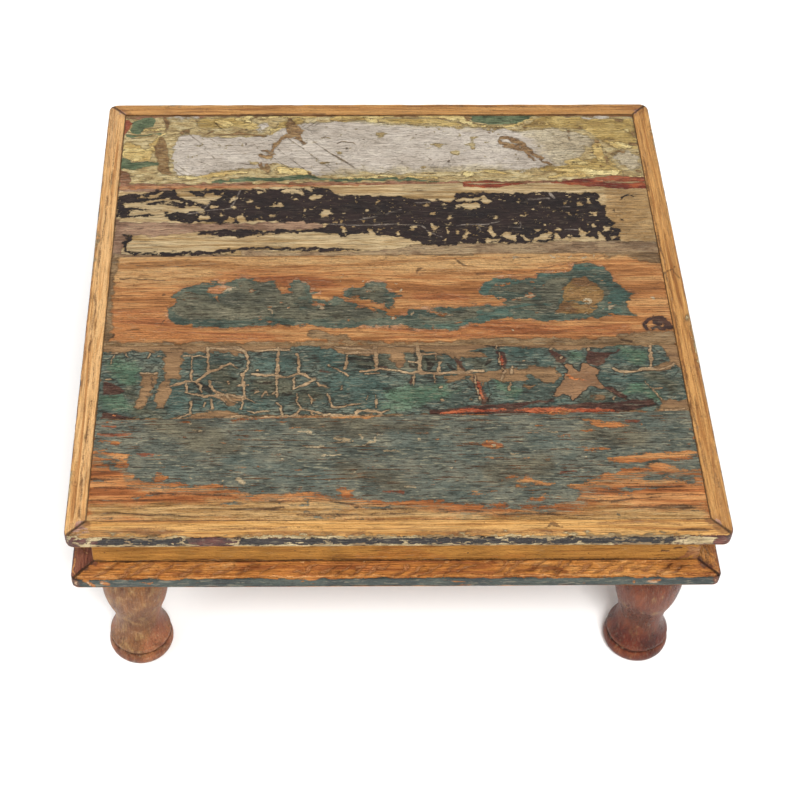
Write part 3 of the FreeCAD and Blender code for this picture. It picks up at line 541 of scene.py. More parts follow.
# Board 1, at the back: grey-white paint over khaki, yellow and green, chipped to the wood.
whiteBoard = dict(
    slot="board_white_paint", gloss=0.5,
    wood=dict(axis="X", shift=11, fibre=0.2, dirt=0.6, relief=0.4, lines=0.2, cloud=0.2,
        bands=dict(size=7), colours={0.25: "856A42", 0.45: "A08655", 0.6: "B29A68", 0.8: "92784A"}))
whiteBoard["coats"] = dict(
    roughGround=dict(
        shapes=[[-190, 106, 190, 106, 190, 190, -190, 190]],
        colours={0.34: "745C3A", 0.42: "A48A5C", 0.5: "BEA674", 0.6: "D6C496", 0.68: "B09468"},
        tone="tatter", level=0.3, cuts=0.6, thickness=0.1),
    backEdgeBrown=dict(
        shapes=[[-187, 187, 187, 187, 187, 185, 120, 186, 30, 185.5, -80, 186, -150, 185, -187, 183],
            [-187, 126, -179, 122, -180, 112, -150, 112, -100, 113, -40, 114, 60, 114, 187, 115, 187, 108,
            -187, 108]],
        colours={0.3: "80573A", 0.6: "A0745A", 0.75: "8B6A48"}, tatter=1, level=0.2, wander=1.2),
    khakiCoat=dict(
        shapes=[[0, 182, 20, 184, 42, 183, 56, 180, 62, 175, 58, 172.5, 40, 176, 15, 177, 0, 178.5],
            [104, 173, 112, 180, 120, 186, 150, 184.5, 187, 182, 187, 148, 170, 150, 160, 160, 156, 164,
            148, 171, 130, 172], (-128, 178, 6, -105, 179, 5, -92, 174, 4), (-30, 182, 2, -12, 183, 2.5),
            (116, 128, 3, 126, 126, 4, 140, 130, 5, 155, 130, 8, 168, 124, 4),
            (-78, 166, 2, -72, 175, 4, -60, 181, 4), (-62, 172, 3, -52, 168, 3)],
        # its pale lip is worn paint and a painted highlight, its dark rim dirt and a painted shadow line
        colours={0.2: "967A46", 0.5: "B69858", 0.8: "CEB272"}, tatter=1.8, lip=0.5, rim=0.4),
    yellowCoat=dict(
        shapes=[[-187, 153, -181, 158, -175, 152, -171, 147, -167, 156, -163, 150, -166, 138, -173, 135.5,
            -181, 138, -187, 141], (-186, 170, 1, -176, 169, 1.5, -171, 172, 1.5, -163, 170, 1.5,
            -158, 171, 1), (-165, 155, 1.5, -161, 163, 1.2, -158, 166, 0.8), (-117, 180, 3, -112, 177, 3),
            (-104, 182, 1.5, -97, 185, 2.5, -90, 187, 1.5), (-97, 180, 1.5), (-86, 185.5, 1.2,
            -70, 187, 1.5, -48, 186, 1.5), (-78, 172, 2, -72, 172, 2), (-33, 184, 2.5, -22, 186, 3,
            0, 185, 2, 12, 187, 1.5), (-8, 182, 2, -3, 180, 2.5), (28, 187, 1.5, 45, 186.5, 2.5,
            60, 184, 3.5, 64, 179, 2.5, 70, 175, 1.2, 82, 173.8, 1, 96, 174.5, 1, 105, 179, 1.3,
            112, 183, 1), (-146, 118, 1, -130, 119.5, 2, -112, 123.5, 2.5, -98, 124, 1.5),
            (-72, 126, 3.5, -58, 124, 4, -50, 125, 2), (-46, 124, 2.2),
            (60, 122, 2, 72, 124.5, 1.8, 90, 122, 1.2), (-30, 118, 1, 20, 119, 1, 40, 118, 1), (157, 158, 2,
            157, 147, 3.5, 160, 138, 3, 166, 133, 1.5), (163, 157, 2, 172, 151, 3, 180, 152, 2.5),
            (126, 126.5, 2, 140, 125, 3, 155, 123.5, 3, 168, 124, 2),
            (128, 134, 1.2, 140, 135, 2, 150, 134, 1.2), (118, 119, 1.2, 135, 121.5, 1.2, 150, 120, 1),
            (176, 119, 1.5, 184, 118, 1.2), (181, 169, 1.5), (37.5, 129.5, 2.2), (47, 130, 2.4),
            (138.5, 153, 2.4), (117, 177.5, 1), (122, 177, 1.2), (126.5, 177, 1)],
        holes=[(138.5, 153, 1.5), (37.5, 129.5, 1.2), (47, 130, 1.3)],
        # the dark rim round its edge is dirt and a painted shadow line
        colours={0.2: "C7A462", 0.5: "DDC17E", 0.8: "F0DA9A"}, tatter=1.2, fray=0.9, rim=0.8,
        rimDirtAndShadeColour="6A5130", wander=1.6),
    greenCoat=dict(
        shapes=[[-183, 170, -183, 178, -177, 183, -169, 185, -164, 181, -166, 175, -172, 171, -177, 166.5],
            (-186, 164, 1.5, -170, 164.5, 1.2, -161, 167, 0.8), [-187, 139, -178, 136, -165, 136.5,
            -160, 134, -167, 130.5, -176, 128, -187, 128], (-120, 114.5, 0.8, -103, 117, 1.6, -82, 116.5, 2,
            -55, 118.5, 2.5, -38, 116, 1.5, -12, 116, 1.2, 8, 117, 1.8, 25, 115.5, 1.2, 40, 114, 0.8),
            [66, 188, 66.5, 183, 70, 179.5, 78, 177, 90, 176.5, 100, 177, 108, 181, 116, 188]],
        colours={0.2: "46543A", 0.5: "5C6A4C", 0.8: "76805E"}, tatter=1.2, wander=1.2, cuts=0.5,
        thickness=0.12),
    maroonCoat=dict(
        shapes=[[-188, 183, -185, 182, -182, 178, -184, 170, -188, 163], (58, 112, 1.2, 75, 113.5, 2.2,
            88, 112, 1.2, 103, 112.5, 0.8), (122, 113, 1, 140, 114, 2.2, 157, 116, 3, 165, 117.5, 3,
            180, 115, 3, 188, 115, 3)],
        colours={0.3: "6A2F24", 0.55: "8E4632", 0.7: "A25A3C"}, tatter=0.8, wander=0.8),
    whiteCoat=dict(
        shapes=[[-149, 160, -143, 167, -130, 164, -118, 163, -105, 161.5, -86, 162.5, -72, 171, -55, 178,
            -30, 180, 0, 178, 30, 175, 60, 172, 78, 172, 100, 169, 125, 171, 140, 168, 150, 163, 156, 159,
            152, 151, 146, 152.5, 148, 146, 143, 140, 136, 139, 132, 133, 126, 130, 119, 131, 113, 127,
            100, 124.5, 80, 127, 66, 124, 40, 124, 15, 122, -15, 124, -30, 122, -46, 120.5, -60, 130,
            -78, 133, -88, 128, -112, 125, -130, 120.5, -147, 121, -151, 135], [169, 141, 172, 147,
            179, 145, 185, 140, 186, 130, 182, 127, 174, 131, 170, 134], (-155, 184, 1, -135, 184, 2),
            (-84, 176, 3, -88, 170, 2), (150, 184, 1, 168, 184.5, 1.5)],
        holes=[(-100, 165, 1, -122, 164.5, 1)], flakes=[(9, 1.15, 1.5, 1), (3, 1.2, 1.2, 1)],
        # its pale lip is worn paint and a painted highlight, its faint dark rim dirt and a painted shadow
        # line
        colours={0.1: "A99C8D", 0.4: "B8AB9C", 0.6: "BFB3A5", 0.9: "CBBFAE"}, tatter=1.8, streaks=0.06,
        speckle=0.08, cuts=0.28, cutDirtAndShadeColour="8A7A66", ridgesWearAndHighlight=0.3, ridgeWearAndHighlightColour="DDD3C2", lip=0.7,
        lipWearAndHighlightColour="D8C8A0", thickness=0.25, wander=1.6, fray=1.1, soft=0.5, rim=0.2, rimDirtAndShadeColour="6E5A3C",
        smooth=0.4),
    khakiVeil=dict(
        softPatch,
        shapes=[[100, 172, 160, 174, 160, 134, 128, 128, 118, 140, 112, 160],
            [168, 150, 188, 150, 188, 124, 168, 124], (-20, 182, 3, 40, 179, 4, 80, 174, 3),
            (-40, 122, 3, 20, 123, 4, 90, 125, 4)],
        colours={0.2: "A08C62", 0.5: "B8A67C", 0.8: "CCBC94"}, tatter=3, wander=3, wanderSize=8,
        strength=0.6, onlyOver="whiteCoat",
        crackle=dict(size=7, stretch=1.8, width=0.35, colour="6E5636", strength=0.7)),
    bareChips=dict(
        shapes=[(-160, 161, 2, -159, 150, 4.5, -157, 138, 4, -156, 125, 3, -152, 122, 1.5), (-158, 184, 1.2,
            -155, 179, 1.8, -157, 170, 0.6), (-144, 167, 1.8, -141, 170, 1.6, -140, 167, 1),
            (-142, 186, 1.5, -138, 184, 0.6), (-125, 167.5, 1, -122, 169, 1), (-121, 165, 0.7,
            -110, 165, 1.4, -104, 166.5, 2.2, -95, 165, 1.1, -83, 164.5, 0.8), (-66, 182, 1.5, -66, 176, 4,
            -62, 168, 5.5, -66, 164, 3), (-68, 163, 2.5, -73, 158, 2, -78, 152, 1.2), (-74, 156, 1.2,
            -79, 146, 1.2, -85, 147, 1.2), (-86, 142, 1.8, -82, 141, 2.5, -78, 143, 1.2),
            (-86, 134, 1.2, -86, 129, 1.2, -81, 125, 1), (-82, 132, 1.6, -82, 128, 1.6),
            (-60, 162, 2.5, -56, 154, 0.8), (88, 161, 1.2, 93, 161, 1.8, 98, 158, 2.4, 104, 152, 2.2,
            112, 142, 1.6, 121, 132, 1.2), (87, 158, 1.2, 92, 153.5, 2.6, 98, 152, 2.2, 104, 147, 1.6,
            108, 141, 1.6, 110, 137, 1), (90, 151, 1.2, 96, 152, 1.5), (157, 157, 1.8), (153, 144, 1.1),
            (157.5, 151, 0.9), (163, 146.5, 0.9), (162, 134, 0.9, 163, 140, 0.9), (158, 130, 1),
            (175, 181, 1.4, 178, 180, 1.2), (147, 172, 1), (186, 168, 1.4, 186, 163, 1),
            (183, 155, 2, 187, 154, 2), (184, 125, 2.2), (170, 145, 1, 176, 144, 0.8),
            (-53, 124, 1.2, -51, 122.5, 0.8), (-92, 188, 1.5, -90, 185, 1), (-37, 188, 2, -35, 186, 0.8),
            (12, 188, 1, 17, 185, 1.5), (106, 173, 1), (80, 167, 0.8), (65, 187, 1.5, 66, 182, 1),
            (138, 170, 0.4, 138.5, 160, 0.4)],
        colours={0.38: "553B24", 0.46: "7C5B38", 0.56: "98774C", 0.66: "AE9060"}, tatter=1.2, tone="tatter",
        # the dark rim round each chip is dirt and a painted shadow line
        level=0, thickness=-0.3, wander=1.3, fray=0.7, rim=0.3, strength=0.95),
    darkScratches=dict(
        shapes=[(-140, 178, 0.15, -127, 165, 0.35, -116, 152, 0.15), (-140, 166, 0.35, -136, 162, 0.5,
            -126, 150.5, 0.2), (-128, 149, 0.2, -120, 139, 0.4), (-121, 179, 0.5, -116, 172, 0.6,
            -108, 166, 0.2), (-98, 179, 0.2, -88, 170, 0.3), (-104, 162, 0.2, -98, 156, 0.3),
            (-148, 134, 0.3, -141, 126, 0.3, -131, 119, 0.3), (-135, 138, 0.2, -120, 129, 0.2),
            (-150, 130, 0.3, -140, 119, 0.4), (-92, 155, 0.3, -84, 144, 0.3),
            (-80, 142, 0.2, -60, 122, 0.35), (-75, 150, 0.25, -52, 123, 0.35, -48, 117, 0.3),
            (-67, 161, 0.4, -55, 148, 0.3, -31, 121, 0.3), (-51, 160, 0.25, -38, 146, 0.5, -28, 137, 0.9,
            -17, 126, 0.2), (-90, 130, 0.3, -80, 120, 0.3), (-150, 162, 0.3, -144, 166, 0.3),
            (30, 144, 0.2, 36, 137, 0.3), (-48, 183, 0.2, -57, 174, 0.3), (-44, 183, 0.2, -53, 173, 0.3),
            (-42, 181, 0.2, -49, 174, 0.2), (-110, 136, 0.2, -98, 133, 0.4, -91, 132, 0.5), (-25, 150, 1.1),
            (-24.3, 146.5, 0.7), (-12, 160, 0.6), (26, 165, 0.6), (14.5, 135, 0.7),
            (48, 135, 1, 49, 137, 0.3), (-98, 154.5, 0.8), (-127, 150.5, 0.9), (-32, 155, 0.2,
            -28, 158, 0.5, -20, 156, 0.5, -16, 152, 0.2), (-44, 160.5, 0.6, -40, 160, 0.3), (6, 176, 0.5),
            (-14, 126.5, 0.8)],
        colours={0.4: "4B3A26", 0.6: "6B5738"}, level=0.1, wander=0.3, wanderSize=5, thickness=-0.2,
        fray=0.25, soft=0.3, strength=0.85))

# Board 2: aubergine-black paint over cream, flaking in small sharp chips.
blackBoard = dict(
    slot="board_black_paint", gloss=0.5,
    wood=dict(axis="X", shift=23, fibre=0.2, dirt=0.6, relief=0.4, lines=0.2, cloud=0.2,
        bands=dict(size=6), colours={0.15: "957648", 0.4: "B4966A", 0.6: "CCB48A", 0.85: "A88A5C"}))
blackBoard["coats"] = dict(
    brownBands=dict(
        shapes=[[-187, 72, -150, 72, -120, 71, -90, 71, -62, 74, -42, 71, -44, 64, -80, 64, -100, 64,
            -130, 62, -150, 58.5, -180, 60, -187, 60], [-187, 78, -183, 70, -178, 60, -180, 40, -188, 38],
            [-187, 104.5, -170, 103, -150, 105, -150, 112, -187, 112]],
        colours={0.3: "80604A", 0.5: "9A7860", 0.65: "A8866A"}, tatter=1.5, streaks=0.12, level=0.5),
    orangeBand=dict(
        shapes=[[-187, 106, -150, 107, -130, 107.5, -100, 107, -60, 109, -20, 110, 0, 110.5, 30, 113,
            0, 115, -187, 114]],
        colours={0.3: "9E6038", 0.5: "B87A50", 0.65: "C28C60"}, tatter=1.2, streaks=0.15, level=0.3),
    tanRight=dict(
        shapes=[[156, 106, 190, 106, 190, 52, 160, 52, 155, 80]],
        colours={0.2: "906C3E", 0.5: "AC8654", 0.8: "BE9A68"}, tatter=2, thickness=0, fray=2, soft=2,
        wander=2.5, strength=0.8),
    khakiBand=dict(
        shapes=[[-100, 45, -80, 43.5, -60, 42, -20, 42.5, 0, 44.5, 20, 48.5, 50, 51, 80, 51, 100, 51.5,
            120, 53, 150, 52.5, 187, 52, 188, 36, -100, 37], [-187, 41, -100, 40, -100, 36, -187, 36]],
        colours={0.3: "7B6147", 0.5: "95795A", 0.65: "A58A67"}, tatter=1.4, streaks=0.1, level=0.4),
    redLine=dict(
        shapes=[(-60, 111.5, 0.5, -30, 112, 1, 0, 111.5, 0.6), (58, 110.5, 1.2, 72, 109.5, 2.2,
            86, 110.5, 1.8, 102, 112.5, 0.8), (120, 113, 1, 140, 112.5, 2, 158, 110, 3, 172, 108.5, 3.2,
            188, 110, 3.2)],
        colours={0.3: "6B2A1C", 0.55: "8C4029", 0.7: "A4532F"}, tatter=0.8, wander=0.8, level=0.6),
    blackCoat=dict(
        shapes=[[-187, 97, -182, 101.5, -170, 101, -160, 104.5, -135, 104, -120, 106, -100, 105.5,
            -90, 106.5, -75, 105.5, -66, 107, -48, 108.5, -38, 108, -33, 100.5, -22, 100, -5, 98, 10, 98.5,
            20, 97, 30, 95, 36, 94, 42, 97, 50, 96, 51, 102, 75, 101.5, 100, 101, 118, 103.5, 130, 101.5,
            152, 101.5, 153.5, 97, 149, 93, 156, 86, 155, 78, 160, 72, 157, 66, 163, 64, 160, 57, 164, 52,
            150, 54, 140, 58, 120, 54, 116, 51, 90, 51, 70, 51, 50, 50.5, 38, 48, 26, 51, 14, 56, 0, 59.5,
            -20, 60, -27, 57, -45, 61, -62, 61.5, -75, 61, -95, 58, -108, 57, -128, 61, -132, 63, -120, 64,
            -100, 65, -80, 63.5, -60, 64, -42, 66, -40, 70, -60, 73, -70, 72, -80, 74, -95, 74, -105, 71,
            -125, 71.5, -140, 72, -148, 75, -160, 78, -187, 76], (-181, 59, 1, -176, 57.5, 1.3,
            -179, 53, 1.8, -180, 49, 1.3, -177, 44.5, 1.2, -170, 41.5, 1.2, -150, 40.7, 1.5,
            -130, 41.2, 1.7, -112, 42.6, 2.1, -102, 45, 1.5, -90, 46.5, 1.3, -79, 46.3, 1.1, -64, 44.6, 1.1,
            -50, 45, 1.6, -30, 45, 1.5, -18, 44.4, 0.7), (169, 96, 0.8, 173, 99.5, 1, 176, 98, 0.7),
            (161, 82.7, 1.1), (166, 73.8, 0.9)],
        holes=[(-172, 98, 1, -164, 98, 1.2, -158, 101.5, 1.3), (-166, 94, 1.6, -150, 95, 1.6,
            -142, 93, 1.2), (-181, 89, 2.2, -170, 90, 2.8, -165, 87, 2.5, -155, 88, 2.8, -149, 85, 3.6,
            -140, 84, 2.6, -133, 87, 2.6, -127, 84, 1.8), (-176, 82, 2.5, -163, 83, 2, -155, 81.5, 2.5),
            (-187, 74, 2.5, -178, 73, 3.2, -165, 76, 3, -155, 77, 3, -150, 73.5, 1.5), (-146, 103.5, 1.6,
            -141, 101, 3.6, -136, 98, 2.6), (-137, 97, 1.5, -131, 95.5, 3.4, -125, 93, 2.2),
            (-122, 97, 3.4, -116, 97.5, 1.8), (-124, 101, 1, -120, 101.5, 1.2),
            (-121, 88.5, 2, -117, 88, 1.2), (-108, 93.5, 1.4, -105, 97, 1.6), (-105, 86.5, 1.5),
            (-113, 79.5, 1.7), (-129, 76.5, 1.4, -123, 77, 2.4), (-108, 73.5, 2, -105, 76, 1.2),
            (-100, 76, 3, -97, 72, 2.4), (-94, 93.5, 1.4), (-92, 90, 0.8), (-89, 87, 1.5),
            (-79, 88.5, 0.6, -72, 89, 1.6), (-79, 78.5, 1.3, -77, 79, 0.8), (-97, 103, 0.8), (-88, 103, 1),
            (-84, 104.5, 0.8), (-70, 104, 1.6, -60, 103.5, 2.8, -57, 100, 1.4), (-53, 108, 2, -51, 104, 1),
            (-50, 97.5, 2.2, -43, 99.5, 1.5), (-63, 95.5, 1.1), (-42, 80.5, 3.6, -38, 82, 2),
            (-36, 75.5, 0.8), (-30, 72, 1.1), (-34, 71.5, 0.9), (-20, 98.2, 1.2), (-20, 92.5, 0.7),
            (-12, 84, 1.5), (-5, 89.5, 0.5, -2.5, 94, 0.7), (-6.5, 72.8, 1), (-14.5, 73.5, 0.9),
            (21, 89.5, 0.9), (28, 89, 1, 31, 90, 0.8), (34, 79.5, 1.4, 37, 81.5, 0.6),
            (45, 75, 1.2, 46.5, 78, 0.9), (22, 72, 1.4), (19, 65, 1.4, 22, 68, 0.8),
            (32, 70, 1, 35, 66, 1.4), (40, 91, 0.9, 42, 90, 0.9), (53, 88.5, 1.8, 58, 88, 3.2, 66, 89, 2.2),
            (54, 95, 1.8, 62, 94.5, 2.4, 70, 97, 2, 73, 92.5, 2.6), (46, 95, 3, 36, 96, 1), (9.5, 61, 1.8),
            (10, 70, 1.2), (-12, 64, 1.6, -9, 60.5, 1.6), (-5, 62.5, 1), (-29, 66, 1.6, -27, 62.5, 1.4),
            (-21, 67.5, 1), (43.5, 66, 0.8, 43, 60, 0.8), (31, 59.5, 1.4), (41, 52, 1.2, 42, 55.5, 0.6),
            (50, 62, 1.3), (55.5, 64, 0.8, 57, 61, 1.8, 55, 56, 1.2), (73.5, 64.5, 2.4, 75, 58, 1.6),
            (71, 53.5, 2, 78, 53, 1), (83, 59, 2.6, 88, 56, 3.4), (95, 59.5, 1, 98, 55, 1.6),
            (106, 64.5, 2), (111, 67.5, 1), (104, 54, 2.4, 114, 60, 2.6), (112, 50.5, 2, 118, 53, 2),
            (119, 57, 2.6), (120, 63.5, 1.4), (128, 57.5, 1.4), (135, 64, 1, 137, 59.5, 3, 141, 60.5, 1),
            (145, 68.5, 1, 146, 66.5, 1.4), (154, 65, 2.8), (148, 61, 1.4, 150, 55, 2.4), (157, 55.5, 1.4),
            (128, 91, 1.6), (138, 90.5, 2.4), (128, 81.5, 0.8, 130, 79.5, 1), (135.5, 80.2, 1.3),
            (148.5, 79.8, 1.6), (144.5, 96.5, 0.6, 145, 93, 1.2), (81.5, 96.5, 0.9), (95, 92, 0.9),
            (96, 77.5, 0.8, 98.5, 78.5, 0.9), (75.5, 76, 0.8, 78, 77, 0.9), (105, 85, 0.8), (80, 85.5, 0.6),
            (56, 78.5, 0.7), (57, 69.5, 0.9), (131, 98, 0.6), (92, 71, 1)],
        flakes=[(2.2, 1.15, 1.4, 1.2), (1.3, 1.1, 1.6, 1.2)],
        colours={0.2: "170D0C", 0.5: "211411", 0.8: "2A1C19"}, tatter=1.5, streaks=0.1, cuts=0.3,
        cutDirtAndShadeColour="120E0C", ridgesWearAndHighlight=0.22, ridgeWearAndHighlightColour="6A5C4A", thickness=0.28, wander=1.25, wanderSize=2.6,
        # the rim round its chips is dirt and a painted shadow line
        wanderStretch=1.3, fray=0.55, rim=0.3, rimDirtAndShadeColour="57432B", smooth=0.55),
    paleScratches=dict(
        shapes=[(-39, 69.8, 0.4, -20, 69.2, 0.4, 10, 69.6, 0.45, 25, 68.6, 0.4), (50, 68.5, 0.3,
            60, 69.5, 0.4, 72, 69.5, 0.35, 80, 72.5, 0.2), (-22, 73.8, 0.2, -13, 75.5, 0.4, -5, 78, 0.4),
            (1, 80, 0.4, 12, 85.2, 0.45), (26, 68, 0.4, 31, 61, 0.4, 40, 56, 0.3),
            (-101, 105, 0.3, -107, 88, 0.5), (-137, 80.5, 0.4, -118, 85, 0.3, -107, 86.2, 0.4),
            (-122, 92, 0.3, -126, 86, 0.3), (102, 95.2, 0.4, 117, 95.8, 0.5),
            (110, 86.5, 0.2, 130, 86.8, 0.3), (22, 92, 0.3, 33, 92, 0.3), (65, 68, 0.4, 67, 62, 0.3),
            (95, 72, 0.4, 94, 66, 0.4, 86, 66.5, 0.3), (118, 101, 1, 120, 97, 0.9),
            (125, 64, 0.3, 134, 64, 0.4)],
        colours={0.4: "6D6158", 0.6: "8C8074"}, wander=0.4, level=0.8, thickness=-0.05, fray=0.3, soft=0.3,
        strength=0.8))

# Board 3: bare orange pine, with what is left of a grey-green coat.
patchOutline = [[-148, -15, -142, -8, -145, 0, -139, 7, -128, 11, -114, 12, -109, 10, -104, 17, -96, 17.5,
    -88, 14, -78, 14.5, -75, 10, -70, 3, -64, 3, -66, 13, -60, 16.5, -55, 12, -54, 4, -50, -3, -42, -5,
    -34, -2, -28, -6, -18, -9, -2, -13, 2, -18, 12, -17, 14, -12, 22, -11, 40, -11, 60, -9, 72, -9, 78, -9,
    78, -5, 72, -1.5, 64, 0, 63, 9, 68, 14, 76, 17.5, 90, 16.5, 100, 17, 104, 21, 116, 21, 126, 24, 127, 30,
    138, 30, 147, 28, 151, 22, 153, 14, 158, 8, 160, 5, 166, 2, 162, -3, 158, -6, 160, -12, 163, -17,
    150, -18, 140, -20, 120, -22, 104, -24, 95, -21, 80, -20, 66, -23, 50, -28, 38, -31.5, 25, -31, 5, -28,
    -20, -28, -38, -29.5, -60, -26, -80, -27, -110, -29, -130, -26, -143, -23], [-30, -2, -28, 6, -24, 9,
    -21, 6, -14, 10, -10, 14.5, -3, 14, 0, 9, 3, 3, 8, 0, 4, -3, 2, -11, -8, -7, -12, -3, -22, -4],
    (-128, 11, 0.8, -116, 14, 0.8), (-54, 3, 0.8, -48, 4.5, 0.8)]

